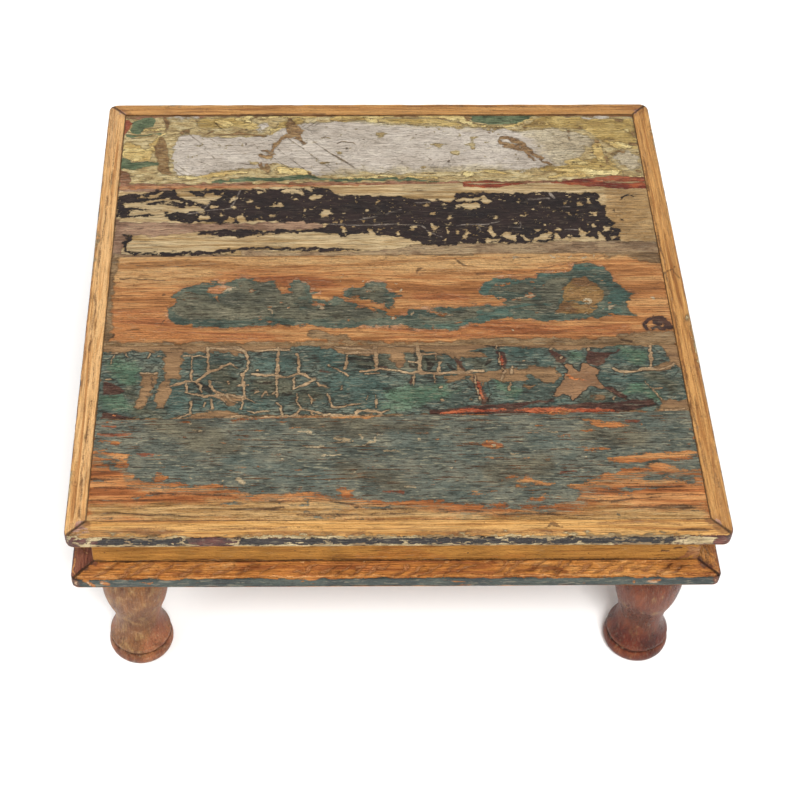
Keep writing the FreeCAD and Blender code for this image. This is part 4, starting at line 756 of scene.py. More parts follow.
pineBoard = dict(
    slot="board_bare_pine", gloss=0.45,
    wood=dict(axis="X", shift=37, fibre=0.2, dirt=0.6, dirtColour="5E3318", bands=dict(size=7),
        colours={0.15: "8E5A30", 0.38: "AB703E", 0.52: "C0844F", 0.68: "CE9A62", 0.88: "A86E3E"}))
pineBoard["coats"] = dict(
    yellowPine=dict(
        shapes=[[-187, 42, 187, 44, 187, 36, 140, 36, 100, 26, 60, 21, 0, 24, -60, 28, -100, 24, -115, 18,
            -150, 14, -187, 18]],
        colours={0.3: "AE7B48", 0.5: "C69660", 0.65: "D2A66E"}, tatter=2, tone="bands", streaks=0.16,
        thickness=0, fray=1.5, soft=2.5, wander=3, wanderSize=8, wanderStretch=8, strength=0.8, level=0),
    redPine=dict(
        shapes=[[-187, -10, -150, -12, -140, -28, -110, -31, -80, -34, -60, -42, -187, -42], [-115, 22,
            -80, 23, -40, 18, -30, 10, -60, 0, -75, 12, -100, 19], [-10, -30, 60, -26, 75, -20, 100, -26,
            160, -28, 165, -36, 60, -38, 0, -36], (20, -2, 5, 50, -3, 5)],
        colours={0.3: "8C4E2A", 0.5: "A9653A", 0.65: "B8743F"}, tatter=2, tone="bands", streaks=0.16,
        thickness=0, fray=1.5, soft=2.5, wander=3, wanderSize=8, wanderStretch=6, strength=0.75, level=0),
    seamDirt=dict(
        shapes=[[-188, 44, -183, 40, -184, 0, -182, -40, -188, -46], [-187, -41, -150, -42, -60, -41.5,
            0, -42.5, 40, -42, 60, -39, 100, -38, 150, -39.5, 187, -35, 188, -48, -187, -48], [150, 44,
            150, 36, 160, 40, 188, 30, 188, 46], [-100, 40.5, -60, 42, 0, 43, 60, 43, 60, 38.5, 0, 40,
            -60, 39.5], [60, 44, 188, 44, 188, 39, 120, 42], (150, -37, 2, 187, -38, 5),
            (-50, -34, 4, -28, -40, 2)],
        colours={0.3: "74593C", 0.5: "8C6E4B", 0.65: "9A7C58"}, tatter=1.6, streaks=0.12, wander=1.4,
        fray=0.9, soft=0.6, level=0.3),
    pinkFringe=dict(
        shapes=patchOutline, flakes=[(4, 0.1, 2, 1)], grow=0.9,
        colours={0.2: "A5683F", 0.5: "C58A60", 0.8: "DDB08A"}, tatter=2.4, thickness=0.08, wander=1.8,
        # the dark rim outside its edge is dirt and a painted shadow line
        wanderSize=3, fray=1.2, soft=0.3, strength=0.7, rim=0.5, rimDirtAndShadeColour="6E3C22", level=0.3),
    greyGreenRim=dict(
        shapes=patchOutline,
        holes=[(-49, -8, 1.8, -43, -11, 1.4), (-40, -7, 1.2), (-12, 5, 1, -7, 4.5, 1),
            (-21, -6.5, 1.2, -10, -6, 1.4), (-75, 7, 2.6, -69, 4, 2),
            (-119, 6, 2.4, -111, 6.5, 2.2, -106, 8, 1), (-91, 5, 1.6), (-115, -1.5, 0.8, -113, -4, 0.6),
            (-71.5, -5, 0.9), (-66.5, -10, 1.1), (-100, -5, 0.7), (-60, -9.5, 0.9),
            (29, -14, 1.6, 36, -17, 1.4, 42, -18, 0.9), (40, -20, 0.9), (3, -21, 1.2),
            (-28, -22, 0.8, -26, -19, 0.4), (-20, -11, 0.9, -8, -14, 0.9), (92, 0, 1.2, 97, 1, 1.6),
            (77, 9.5, 1), (82, 11.5, 0.8), (66, -5, 1, 76, -6, 0.8), (118.5, 7.5, 0.8)],
        flakes=[(3.2, 1.12, 2.2, 1)], colours={0.2: "424F45", 0.5: "566052", 0.8: "6D725F"}, tatter=2.2,
        # the dark rim outside its edge is dirt and a painted shadow line
        cuts=0.55, ridgesWearAndHighlight=0.4, wander=1.5, wanderSize=3.5, thickness=0.14, streaks=0.12, fray=0.7, rim=0.2,
        rimDirtAndShadeColour="6E4426"),
    greyGreenCoat=dict(
        shapes=[[-142, -7, -141, 1, -135, 4, -128, 1, -110, 1, -104, 7, -99, 15, -88, 12, -78, 13, -75, 8,
            -69, 0, -63, 3, -64, 12, -59, 14, -56, 2, -50, -6, -40, -9, -30, -6, -18, -11, -3, -15, -2, -20,
            -20, -23, -60, -21, -80, -20, -110, -22, -135, -21, -143, -15], [15, -18, 22, -22, 45, -23.5,
            62, -18, 72, -14, 60, -11, 45, -14, 30, -21], [64, 3, 66, 10, 78, 7, 92, 12, 100, 8, 118, 19,
            123, 15, 118, 7, 115, -6, 110, -17, 100, -16, 92, -12, 80, -13, 76, -5, 90, -3, 104, -3, 98, 2,
            80, 5], [138, 10, 146, 8, 150, 2, 145, 0, 142, 5], [-27, -1, -24, 6, -14, 8, -8, 12, -2, 8,
            0, -8, -6, -5, -14, -2]],
        holes=[(-91, 5, 1.6), (-115, -1.5, 0.8, -113, -4, 0.6), (-71.5, -5, 0.9), (-66.5, -10, 1.1),
            (-79, -11, 0.5, -77, -18, 0.6), (-12, 5, 1, -7, 4.5, 1), (92, 0, 1.2, 97, 1, 1.6), (77, 9.5, 1),
            (-49, -8, 1.8, -43, -11, 1.4), (-40, -7, 1.2)],
        flakes=[(2.4, 1.1, 3, 1)], colours={0.2: "545446", 0.5: "6A6753", 0.8: "837D65"}, tatter=2.4,
        cuts=0.7, ridgesWearAndHighlight=0.5, ridgeWearAndHighlightColour="A89E84", wander=1.3, wanderSize=3, wanderStretch=3,
        thickness=0.1, fray=0.8, soft=0.3),
    tealSmears=dict(
        shapes=[(64, 3, 2, 66, 9, 3, 74, 14, 2.5, 90, 14, 1.5), (60, -17, 2, 75, -15, 2, 90, -9, 1.5,
            108, -9, 1), (104, 18, 1.5, 118, 20, 1.5), (128, 27, 2, 145, 26, 2), [147, 0, 152, 5.5, 160, 4,
            165, 1, 160, -3, 155, -8, 148, -9, 147, -4], (142, -12, 1.5, 152, -14, 2),
            (60, -21, 2, 80, -18, 1.5), (25, -28, 1.5, 40, -28, 1.5, 58, -23, 1.2),
            (146, 14, 2, 150, 8, 2)],
        colours={0.2: "43594F", 0.5: "526A5E", 0.8: "657A69"}, tatter=2, cuts=0.5, streaks=0.15, wander=1.4,
        wanderStretch=3, thickness=0.05, soft=0.5),
    tanPatch=dict(
        shapes=[[118, 3, 122, 12, 126, 16, 134, 18, 140, 11, 143, 5, 145, 0, 142, -4, 138, -8, 138, -13,
            132, -17, 120, -17, 110, -16, 114, -8, 117, -4]],
        holes=[(118, -5, 0.5, 128, -6, 1, 133, -9, 1), (135, -11, 1, 137, -12, 1.2)],
        colours={0.3: "7E5A38", 0.5: "93703F", 0.65: "A17A4B"}, tatter=1.4, streaks=0.1, wander=1.2,
        # the dark rim outside its edge is dirt and a painted shadow line
        thickness=0.12, rim=0.25),
    paleSpecks=dict(
        shapes=[(130, -5.5, 0.5, 132, -3.5, 0.6, 135.5, -4, 0.5, 135, -7, 0.5, 131, -7.5, 0.5),
            (110, -16.5, 0.5, 118, -17.2, 0.3), (128, -17, 0.5, 132, -16.5, 0.5), (-91, 5, 1.2),
            (-79, -12, 0.5, -77.5, -15, 0.4, -77, -18.5, 0.4), (77, 9.6, 0.9),
            (92, -0.5, 0.9, 97, 0.5, 1.2), (65, -1.8, 0.5, 82, -2.4, 0.4, 92, -1, 0.4), (3, -21, 1),
            (31, -15, 0.8, 36, -17.5, 0.6, 42, -18, 0.5), (8, 4, 0.8, 9, 6.5, 0.5), (5, 12, 0.6),
            (-30.5, 18, 0.9), (-31, 14, 0.6), (-29.5, 21, 0.5), (-16, 14, 0.8), (-66.5, -10, 0.9),
            (-44, -11, 1, -47, -8, 0.6), (-39, -7.5, 0.8), (177, -2, 1.2), (64, -23, 0.8), (81, -31.5, 1),
            (107, -38, 0.7), (87, 36, 1, 91, 36.5, 0.6), (112, 38, 0.7, 114, 36, 0.7), (118, 37.5, 0.8),
            (125, 36, 0.5, 127, 38, 0.5), (134, 35.5, 0.7, 137, 37, 0.5), (142, 36.5, 0.5, 143, 38.5, 0.4),
            (110, 42.5, 0.7), (-118, 13.5, 0.8), (-102, 9, 0.5, -112, 4, 0.5),
            (15, -17.5, 0.8, 16, -15, 0.6), (7, -26.5, 0.6), (147, -10.5, 0.5, 142, -12, 0.5),
            (152, -9, 0.5, 146, -12, 0.4)],
        colours={0.4: "B49A78", 0.6: "CDB896"}, wander=0.9, wanderSize=2, thickness=0.1, fray=0.4),
    knot=dict(
        shapes=[(170, -31, 1.2, 168, -27, 1, 171, -21.5, 1.2, 175, -20.5, 1), (176, -20, 1.2, 181, -21, 2.2,
            184, -26, 2.4, 181, -30, 1.6, 175, -29, 1.4, 173, -31, 1), (178, -24, 3.5),
            (184, -29, 1.5, 187, -28.5, 1)],
        colours={0.35: "2E201C", 0.55: "47312A", 0.7: "5A3D30"}, wander=0.8, wanderSize=2.5,
        # the dark rim round the knot is dirt and a painted shadow line
        thickness=-0.25, level=0, rim=0.5, rimDirtAndShadeColour="6B4430"),
    darkMarks=dict(
        shapes=[(47, 36, 0.5, 49, 33, 1, 52, 30, 1.2, 55, 28.5, 0.5),
            (20, 21, 0.5, 22, 26, 1.3, 25, 27, 0.4), (-170, -29.5, 0.6, -165, -29.8, 0.6),
            (-181, -34, 0.6, -182, -37, 0.6), (-150, 2, 0.9), (-147.5, -5, 0.6),
            (-149, -22, 0.6, -150, -26, 0.5), (-90, -25, 0.8), (-79, -25, 0.8),
            (-69, -26.5, 0.8, -66, -26.5, 0.8), (-128, 3, 0.7, -136, 3.5, 0.6),
            (-135, -1.5, 0.6, -127, -1, 0.5), (-180, 17.5, 0.5, -150, 15.5, 0.4), (-170, 30, 0.4,
            -140, 29, 0.5, -110, 31, 0.3), (152, -41, 0.8, 158, -42, 1.4), (80, 36.5, 0.4, 98, 36.5, 0.6),
            (103, 26, 0.4, 125, 31, 0.5, 150, 37, 0.3), (60, 20.5, 0.5, 100, 23.5, 0.4, 122, 26, 0.3)],
        colours={0.4: "3E2A1A", 0.6: "5B3D22"}, wander=0.7, thickness=-0.2, level=0, strength=0.8,
        soft=0.35))

# Board 4: old green paint, crackled all over, with long pale cracks down to the tan wood.
greenBoard = dict(
    slot="board_green_crackle", gloss=0.42,
    wood=dict(axis="X", shift=53, fibre=0.16, relief=0.45, lines=0.2, dirtColour="3E2A1C",
        bands=dict(size=7), colours={0.2: "7F6043", 0.45: "93714D", 0.65: "A27E58", 0.85: "8A6A49"}))
greenBoard["coats"] = dict(
    greenCoat=dict(
        shapes=[[-188, -49, -176, -51, -168, -49.5, -158, -51, -149, -50, -146, -53, -135, -50, -128, -51,
            -119, -50, -110, -51, -100, -53, -96, -50.5, -90, -49.8, -66, -49.5, -64, -45, -50, -43.5,
            -40, -45, -34, -51, -29, -53, -10, -53, 0, -52, 20, -50, 35, -52, 45, -52, 60, -47, 66, -46,
            110, -49, 122, -49.5, 148, -45, 176, -46, 180, -52, 179, -62, 188, -64, 188, -92, 176, -92,
            168, -100, 160, -102, 100, -103, 40, -104, -20, -105, -80, -105, -150, -107, -188, -108]],
        holes=[[-147.3, -44, -134.5, -45, -134.5, -55.3, -136.2, -63.1, -135.7, -69.8, -136.8, -75.3,
            -142.3, -74.2, -141.2, -79.8, -142.3, -88.7, -145.7, -98.7, -147.9, -98.7, -151.8, -91.5,
            -150.1, -82, -146.2, -74.2, -145.7, -68.7, -147.3, -63.1, -146.8, -53.1], [-160.1, -69.8,
            -150.1, -68.7, -151.2, -77.6, -153.4, -85.3, -156.8, -94.2, -160.1, -99.8, -163.4, -98.7,
            -161.2, -89.8, -161.8, -84.2, -159.5, -76.5], [-129, -107, -127.9, -103.1, -119, -100.9,
            -110.1, -100.4, -101.2, -101.5, -96.2, -104.2, -96, -107], [-112, -85.5, -102, -86,
            -93.5, -89.8, -94.5, -92, -101, -96.5, -104.5, -96.5, -109, -92], [-1.2, -50.9, 7.7, -51.5,
            9.3, -57.6, 8.2, -63.1, 4.3, -65.3, 1, -60.9, -1.2, -55.3], [27, -46, 38, -48, 40, -51, 60, -52,
            62, -55.3, 46.6, -56.5, 42, -60, 40, -54, 30, -50], [41, -56.5, 45, -62, 47.7, -68.7, 60, -69,
            72, -66, 78, -63, 82, -66, 92, -62, 100, -65, 106, -66, 109, -72, 104, -78, 98, -79, 94, -74,
            88, -72, 84, -77, 78, -76, 70, -78, 66, -74, 58, -79, 52.1, -78.7, 49.9, -73.1, 36.6, -77.6,
            32.1, -73.1, 42.1, -70.9], [169.3, -90.9, 188, -93.1, 188, -100.9, 176.6, -99.8, 171, -96.5],
            [143, -66, 150, -69, 160, -66.5, 172, -64, 180, -61, 182, -66, 172, -68, 160, -69.5,
            150, -71.5], (84, -80, 1, 88, -81.5, 1.6, 92, -80, 0.8), (-50, -45, 1, -38, -46, 1.5),
            (126, -90, 1, 134, -91, 1.6)],
        flakes=[(4, 1.3, 2.5, 1)], colours={0.12: "3A443C", 0.4: "4A554B", 0.62: "5A6459", 0.88: "6E705F"},
        # its dark rim is dirt and a painted shadow line, its pale lip worn paint and a painted highlight
        tatter=1.4, cuts=0.8, ridgesWearAndHighlight=0.35, thickness=0.26, wander=1.3, wanderSize=3, fray=0.6, rim=0.5,
        rimDirtAndShadeColour="3A2A1C", smooth=0.4, lip=0.4, lipWearAndHighlightColour="97927A",
        crackle=dict(size=4.4, stretch=2.2, width=0.36, colour="231F1A", strength=0.6)),
    tealTone=dict(
        softPatch,
        shapes=[(-138, -84, 5, -135, -98, 4), (-124, -56, 3, -124, -64, 2),
            (-120, -95, 4, -100, -99, 3, -84, -97, 4), (-46, -50, 4, -38, -56, 5, -40, -66, 5),
            (-30, -78, 8, -12, -80, 9, 0, -76, 5), (-20, -92, 6, -6, -92, 4),
            (138, -74, 4, 150, -78, 5, 158, -76, 4), (76, -54, 4, 90, -54, 5, 104, -60, 4),
            (60, -86, 4, 78, -90, 4), (104, -93, 3, 112, -95, 2), (-84, -60, 5, -70, -60, 5),
            (150, -56, 4, 142, -60, 3)],
        colours={0.2: "384E46", 0.5: "475C53", 0.8: "5A6E63"}, wander=4, wanderSize=9, strength=0.75,
        onlyOver="greenCoat", cuts=0.6),
    brightGreen=dict(
        softPatch,
        shapes=[(-178, -60, 5, -170, -66, 7, -168, -78, 5), (-180, -92, 4, -172, -98, 4, -162, -102, 3),
            (4, -88, 5, 20, -90, 6, 36, -88, 5), (146, -86, 3, 156, -86, 4, 164, -87, 3),
            (118, -54, 3, 123, -56, 3), (152, -52, 4, 160, -56, 5), (10, -96, 4, -2, -100, 3),
            (70, -82, 3, 80, -84, 3)],
        colours={0.2: "47604A", 0.5: "587258", 0.8: "6E866C"}, soft=2.5, wander=4, wanderSize=9,
        strength=0.8, onlyOver="greenCoat", cuts=0.5),
    oliveTone=dict(
        softPatch,
        shapes=[(-112, -70, 7, -104, -76, 8), (-84, -80, 6, -68, -82, 7),
            (-20, -58, 5, 4, -60, 5, 26, -60, 6), (-168, -86, 3, -160, -98, 4, -150, -103, 3),
            (50, -60, 4, 58, -62, 4), (120, -92, 3, 140, -90, 3), (170, -74, 5, 180, -82, 5, 176, -76, 4),
            (-60, -92, 5, -48, -86, 5)],
        colours={0.2: "45412F", 0.5: "57533F", 0.8: "6A6650"}, wander=4, wanderSize=9, strength=0.7,
        onlyOver="greenCoat", cuts=0.6),
    starFlake=dict(
        shapes=[[110.5, -62.6, 113.2, -60.9, 116.6, -62.6, 119.3, -67.6, 121, -68.7, 123.8, -60.9,
            126.6, -62, 129.3, -64.8, 132.1, -64.8, 134.3, -67.6, 133.2, -70.3, 131, -70.9, 131.6, -75.3,
            135.5, -82, 136, -84.2, 131, -82, 126.6, -80.9, 122.1, -85.3, 117.7, -89.8, 114.3, -93.1,
            112.1, -88.7, 108.8, -87.6, 103.2, -89.8, 102.7, -88.7, 105.5, -82, 108.8, -77.6, 112.1, -70.9,
            114.3, -67.6], (131, -81, 1.2, 138, -84, 0.9, 144, -88.5, 0.6, 149, -93, 0.4)],
        colours={0.2: "6E4E34", 0.5: "7D5C3F", 0.8: "896647"}, tatter=0.5, streaks=0.05, speckle=0.08,
        # its dark outline is dirt and a painted shadow line round the sunk flake
        cuts=0.05, ridgesWearAndHighlight=0.08, thickness=-0.2, wander=0.6, wanderSize=2.5, fray=0.3, rim=1,
        rimDirtAndShadeColour="2A1C14", level=0, smooth=0.7),
    maroonChips=dict(
        shapes=[[-184, -75.3, -176.8, -78.1, -171.8, -83.7, -173.4, -86.5, -184, -88.1], [-184, -100.4,
            -177.9, -102, -167.9, -105.3, -157.9, -107.3, -184, -107.5], [103.2, -47.6, 107.7, -49.8,
            111, -54.2, 114.3, -57.6, 111, -60.9, 107.7, -58.7, 103.8, -53.1], [128.8, -48.1, 132.1, -50.9,
            139.9, -52, 146.6, -50.9, 148.8, -48.1, 149.9, -49.8, 142.1, -54.8, 137.7, -60.9, 133.2, -64.2,
            127.7, -62, 125.5, -59.8, 127.1, -53.1], [69.3, -50.9, 73.8, -52, 74.3, -63.1, 72.1, -67.6,
            69.9, -63.1], [21, -95.3, 23, -100, 29.9, -101.8, 41, -98.7, 52, -97, 72, -96.5, 85, -93,
            102, -92.5, 103, -94, 88, -95, 80, -98.5, 100, -98.7, 115, -96, 122, -94.2, 140, -95.5,
            150, -93, 166, -92, 167, -96.5, 160, -98, 151, -102, 120, -104.5, 60, -105, 24, -105],
            (53.2, -73.2, 1.2, 54.9, -80.9, 1.9, 57.7, -90.9, 1.8, 57.7, -95.3, 1), (136, -83, 1.2,
            141, -84, 1.6, 147.7, -90, 2), (13.2, -71, 0.6, 12.2, -79.8, 0.5),
            (-46, -67, 0.7, -40, -68, 0.5), (-9, -64.8, 0.8, -3, -64.6, 0.6),
            (43, -58, 0.8, 45, -63, 1.4, 47, -66, 0.6)],
        colours={0.15: "38211A", 0.5: "4F3227", 0.85: "634736"}, tatter=0.8, thickness=-0.05, wander=0.9,
        # the dark rim round each chip is dirt and a painted shadow line
        wanderSize=3, wanderStretch=3, fray=0.6, rim=0.4, rimDirtAndShadeColour="1E1210", level=0.3, ridgesWearAndHighlight=0.15),
    redCore=dict(
        shapes=[(77, -101, 0.8, 95, -101.5, 1.8, 110, -102, 1.6, 125, -101.5, 1.8, 139, -101, 0.8),
            (30, -103.2, 0.8, 50, -101, 1.2, 70, -101, 0.8), (54.6, -77, 0.6, 56.3, -85, 0.9,
            57.5, -91, 0.9), (71.5, -56, 0.7, 72, -62, 0.8)],
        colours={0.2: "8A3A22", 0.5: "A54E2E", 0.8: "BC6A42"}, tatter=0.9, thickness=-0.05, wander=0.9,
        wanderSize=3, fray=0.6, level=0.2),
    orangeCore=dict(
        shapes=[(96, -102.4, 0.5, 108, -102.8, 0.7, 116, -102.6, 0.4), (112, -71, 0.6, 118, -75, 0.9,
            124, -76, 0.5), (-176, -104.3, 0.6), (60, -106, 0.8, 72, -106.4, 0.6)],
        colours={0.32: "A05A30", 0.5: "B8703F", 0.68: "C48650"}, tatter=0.8, thickness=-0.1, wander=0.8,
        wanderSize=3, fray=0.6, level=0.2),
    darkCuts=dict(
        shapes=[(-125, -78, 2.2, -119, -82, 2.4, -116, -86, 1.2), (-107, -72, 0.5, -100, -74, 0.8),
            (-90, -76, 0.5, -80, -78, 0.9, -76, -76, 0.4), (-92, -84, 0.5, -86, -82, 0.8),
            (-70, -86, 0.5, -64, -87, 0.9), (-12.5, -48, 0.5, -12.3, -60, 0.5), (15.4, -47, 0.5,
            16, -60, 0.6, 16.4, -67, 0.4), (-28, -56, 0.8, -16, -58, 1.4, -12, -56, 0.8),
            (-26, -63, 0.6, -14, -64, 1), (22, -56, 1, 26, -62, 1.6, 24, -66, 1),
            (36, -62, 0.8, 40, -66, 1.2), (12, -62, 1, 14, -65, 1), (62, -44, 1.5, 70, -48, 1),
            (61.5, -62, 1, 64, -58, 1.5), (148, -43, 0.8, 158, -43.5, 0.8), (142, -83, 0.5, 150, -93, 0.5),
            (150, -96.5, 0.6, 166, -98.5, 0.7), (167, -93, 0.5, 167, -101, 0.6), (-154, -72, 0.4,
            -152, -84, 0.4, -155, -93, 0.3), (61, -76, 0.5, 62, -88, 0.5, 60, -94, 0.5),
            (52.5, -84, 0.5, 55, -93, 0.5), (-58, -105.8, 0.4, 0, -106, 0.4),
            (-132, -103.6, 0.4, -100, -107, 0.4)],
        colours={0.3: "1E1A15", 0.7: "37291E"}, thickness=-0.25, wander=0.8, wanderSize=2.5, fray=0.35,
        level=0, strength=0.85, soft=0.3),
    paleCracks=dict(
        shapes=[(-143.5, -79.6, 0.6, -136, -77.8, 0.9, -132, -76, 0.9, -125, -76.3, 0.9, -121, -71, 0.8,
            -117, -67, 0.9, -111, -65, 0.8, -106, -61.5, 0.8, -104, -60, 0.9, -99.5, -64.5, 0.6),
            (-128.8, -54.8, 0.5, -128.8, -75.3, 0.7), (-134.5, -53.7, 0.6, -119, -54.5, 0.7),
            (-119, -45.9, 0.7, -118.1, -67, 0.9), (-119, -46.5, 0.6, -110, -48.1, 0.7, -102.3, -47.6, 0.7,
            -96.8, -49.8, 0.8, -93.4, -53.1, 0.9, -91.8, -59.2, 0.9, -93.4, -65.9, 0.8, -95.9, -69.8, 0.8,
            -95.7, -77.6, 0.8, -94.5, -85.3, 0.9, -95.4, -93.1, 0.8, -96.2, -99.8, 0.6), (-110, -45.9, 0.5,
            -102.3, -45.1, 0.5, -97.9, -47, 0.5, -94.5, -50.3, 0.5), (-90.1, -69.8, 0.7, -83.4, -70.9, 1,
            -74.5, -71.1, 0.9, -67.9, -72.6, 0.8, -60.7, -70, 0.8), (-73.4, -47, 0.6, -73.4, -63.1, 0.8,
            -74, -77.6, 0.7, -73.7, -89.8, 0.6), (-73.4, -94.2, 0.5, -71.4, -97.6, 0.7, -70.7, -104.2, 0.7),
            (-89.5, -48.9, 0.5, -79, -49.2, 0.7, -65.7, -48.5, 0.6), (-131.8, -77.6, 0.7,
            -130.7, -85.3, 0.7, -127.9, -86.7, 0.7, -119, -88.7, 0.8, -110.1, -88.1, 0.7),
            (-124.5, -76.7, 0.7, -122.3, -79.8, 0.8, -122.1, -85.3, 0.7), (-117.3, -75.3, 0.8,
            -116.8, -78.7, 0.8, -113.4, -84.8, 0.8, -107.9, -87, 0.8),
            (-112.3, -86.5, 0.6, -105.7, -95.3, 0.6), (-109, -86.5, 0.5, -99, -94.2, 0.6),
            (-105.7, -87, 0.7, -94.5, -89.8, 0.7, -87.3, -94.8, 0.4),
            (-115.9, -91.5, 0.5, -114.5, -99.2, 0.7), (-119, -94.2, 0.4, -120.1, -98.1, 0.4),
            (-128.2, -93.1, 0.5, -128.7, -103.1, 0.6, -136.2, -107.3, 0.6), (-83.4, -89.8, 0.4,
            -80.7, -84.2, 0.6, -79, -87.6, 0.5, -75.7, -85.9, 0.4), (-88, -86, 0.6, -85.5, -84.5, 0.6,
            -88.5, -84, 0.5), (-104.5, -76, 0.8, -104, -78.5, 0.6), (-86, -66.7, 0.9),
            (-110, -83, 0.4, -106, -84, 0.4), (-98.5, -80, 0.4, -92, -79.5, 0.4), (-107, -106.3, 0.6,
            -98, -105.3, 0.8, -79, -106.2, 0.7, -60, -105.3, 0.7), (-92.3, -100.9, 0.5, -86.8, -102, 0.7,
            -79, -101.8, 0.5), (-184.5, -52, 0.5, -177.3, -50.7, 0.6),
            (-179, -52.6, 0.5, -181.8, -60.9, 0.4), (-172.3, -51.5, 0.6, -169.5, -55.3, 0.4),
            (-157.9, -55.9, 0.4, -156.8, -51.5, 0.6), (-150.7, -54.2, 0.5, -147.3, -54.5, 0.6),
            (-161.8, -68.7, 0.6, -151.2, -68.4, 0.7), (-183.4, -73.7, 0.8, -180, -74, 0.8),
            (-61.2, -52, 0.6, -59.6, -59.8, 0.9, -60.1, -68.7, 0.8), (-60.1, -70, 0.8, -56.8, -70, 0.8,
            -53.4, -72.6, 0.7, -49.6, -74, 0.8, -53.4, -77.6, 0.7, -60.1, -80.9, 0.8, -62.9, -82.6, 0.7,
            -63.4, -77.6, 0.6, -62.9, -73.1, 0.6), (-47.9, -76.5, 0.6, -46.2, -79.8, 0.8,
            -40.7, -81.8, 0.5), (-61.2, -87, 0.6, -60.7, -94.2, 0.8, -58.4, -99.8, 0.7, -60.1, -103.1, 0.7,
            -64.6, -105.6, 0.8, -70, -105.9, 0.7), (-57.3, -99.8, 0.6, -52.3, -100.9, 0.7,
            -51.2, -104.8, 0.5), (-52.3, -100.9, 0.6, -44, -104.2, 0.9, -37.9, -104.8, 0.8),
            (-53.4, -88.1, 0.5, -51.2, -91.5, 0.7, -52.3, -95.3, 0.5), (-41.2, -86.5, 0.5,
            -40.3, -94.2, 0.8, -37.9, -98.1, 0.9, -31.2, -97.6, 0.8, -25.7, -95.6, 0.8, -21.2, -95.3, 0.7),
            (-32.7, -79.8, 0.4, -32.7, -83.1, 0.5), (-10.3, -87.6, 0.4, -10.9, -94.2, 0.7,
            -10.4, -99.2, 0.5), (-16.2, -88.7, 0.4, -16.4, -92, 0.4), (-24, -104.8, 0.8, -22.3, -101.5, 0.9,
            -17.9, -101.5, 0.8, -8.4, -102.6, 0.9, -3.4, -100.9, 0.5), (-37.9, -104.8, 0.7,
            -10, -105.3, 0.6, 18.8, -105.3, 0.5), (-27.9, -53.7, 0.7, -30.1, -65.3, 0.9),
            (-40.1, -62, 0.5, -27.9, -70.9, 0.8), (-10.1, -44.5, 0.9, -9.6, -55.3, 1.2, -10.1, -67, 0.9),
            (-20.1, -68.7, 0.6, -15.7, -67, 0.8, -4.6, -65.6, 0.7, 2.1, -66.5, 0.8, 7.7, -68.7, 0.8,
            19.9, -69.6, 1, 29.9, -70, 1, 49.9, -68.1, 1, 58.8, -67.6, 0.8),
            (-16.8, -70, 0.5, -7.9, -69.6, 0.5), (17.1, -44, 1, 18.2, -55.3, 1.5, 18.8, -68.7, 1.2),
            (18.8, -52.9, 0.8, 28.8, -52.6, 0.9, 33.2, -54, 0.6), (11, -58.7, 0.6, 18.8, -59.8, 0.7),
            (28.8, -54.2, 0.6, 29.3, -58.7, 0.5), (31.6, -59.8, 0.7, 30.4, -68.7, 1),
            (14.2, -70.3, 0.4, 13.4, -79.8, 0.4), (26.6, -69.2, 0.5, 27.4, -78.1, 0.5), (-36.8, -45.9, 0.6,
            -27.9, -47.6, 0.9, -17.9, -48.1, 0.8, -11.2, -48.7, 0.8), (-29, -51.5, 0.7, -12.3, -50.9, 0.8),
            (-9, -45.4, 0.9, 16.6, -44.8, 1), (169.3, -46, 0.7, 168.8, -56, 1, 167.7, -64.8, 0.8),
            (143, -66, 0.6, 148, -69, 1, 157, -68.5, 1, 162, -66, 0.8, 174, -66.5, 0.7, 183, -62.5, 0.8),
            (162.1, -77.6, 0.4, 168.2, -88.7, 0.6, 171, -93.1, 0.5), (166.6, -83.1, 0.6, 172.1, -83.1, 0.8),
            (172, -101, 0.5, 184, -101, 0.6), (104.6, -48.3, 0.9), (110.4, -56.6, 0.9), (128.8, -48.8, 0.9),
            (102.9, -89, 0.6), (112.4, -89, 0.7), (139.8, -92, 0.8, 141, -91, 0.5), (31, -81.5, 0.9),
            (31.6, -92, 1.3), (53, -72, 0.6, 53.4, -82, 0.5, 55.6, -93, 0.5),
            (75.5, -79, 0.7, 74, -84, 0.9), (86, -59, 0.9), (68.6, -44.5, 0.5, 69.3, -48, 0.5),
            (70.5, -52, 0.5, 69.6, -62, 0.5, 73, -67.5, 0.7, 70, -76, 0.6),
            (78, -63.5, 0.7, 76.5, -70, 0.8)],
        colours={0.2: "8F7152", 0.5: "A98A67", 0.8: "BDA07B"}, tatter=0.25, thickness=-0.2, wander=0.7,
        # the dark rim along each crack is dirt and a painted shadow line
        wanderSize=2.5, fray=0.25, grainFray=0.15, soft=0.25, rim=0.7, rimDirtAndShadeColour="201A14", cuts=0.1,
        ridgesWearAndHighlight=0.2, level=0.1))

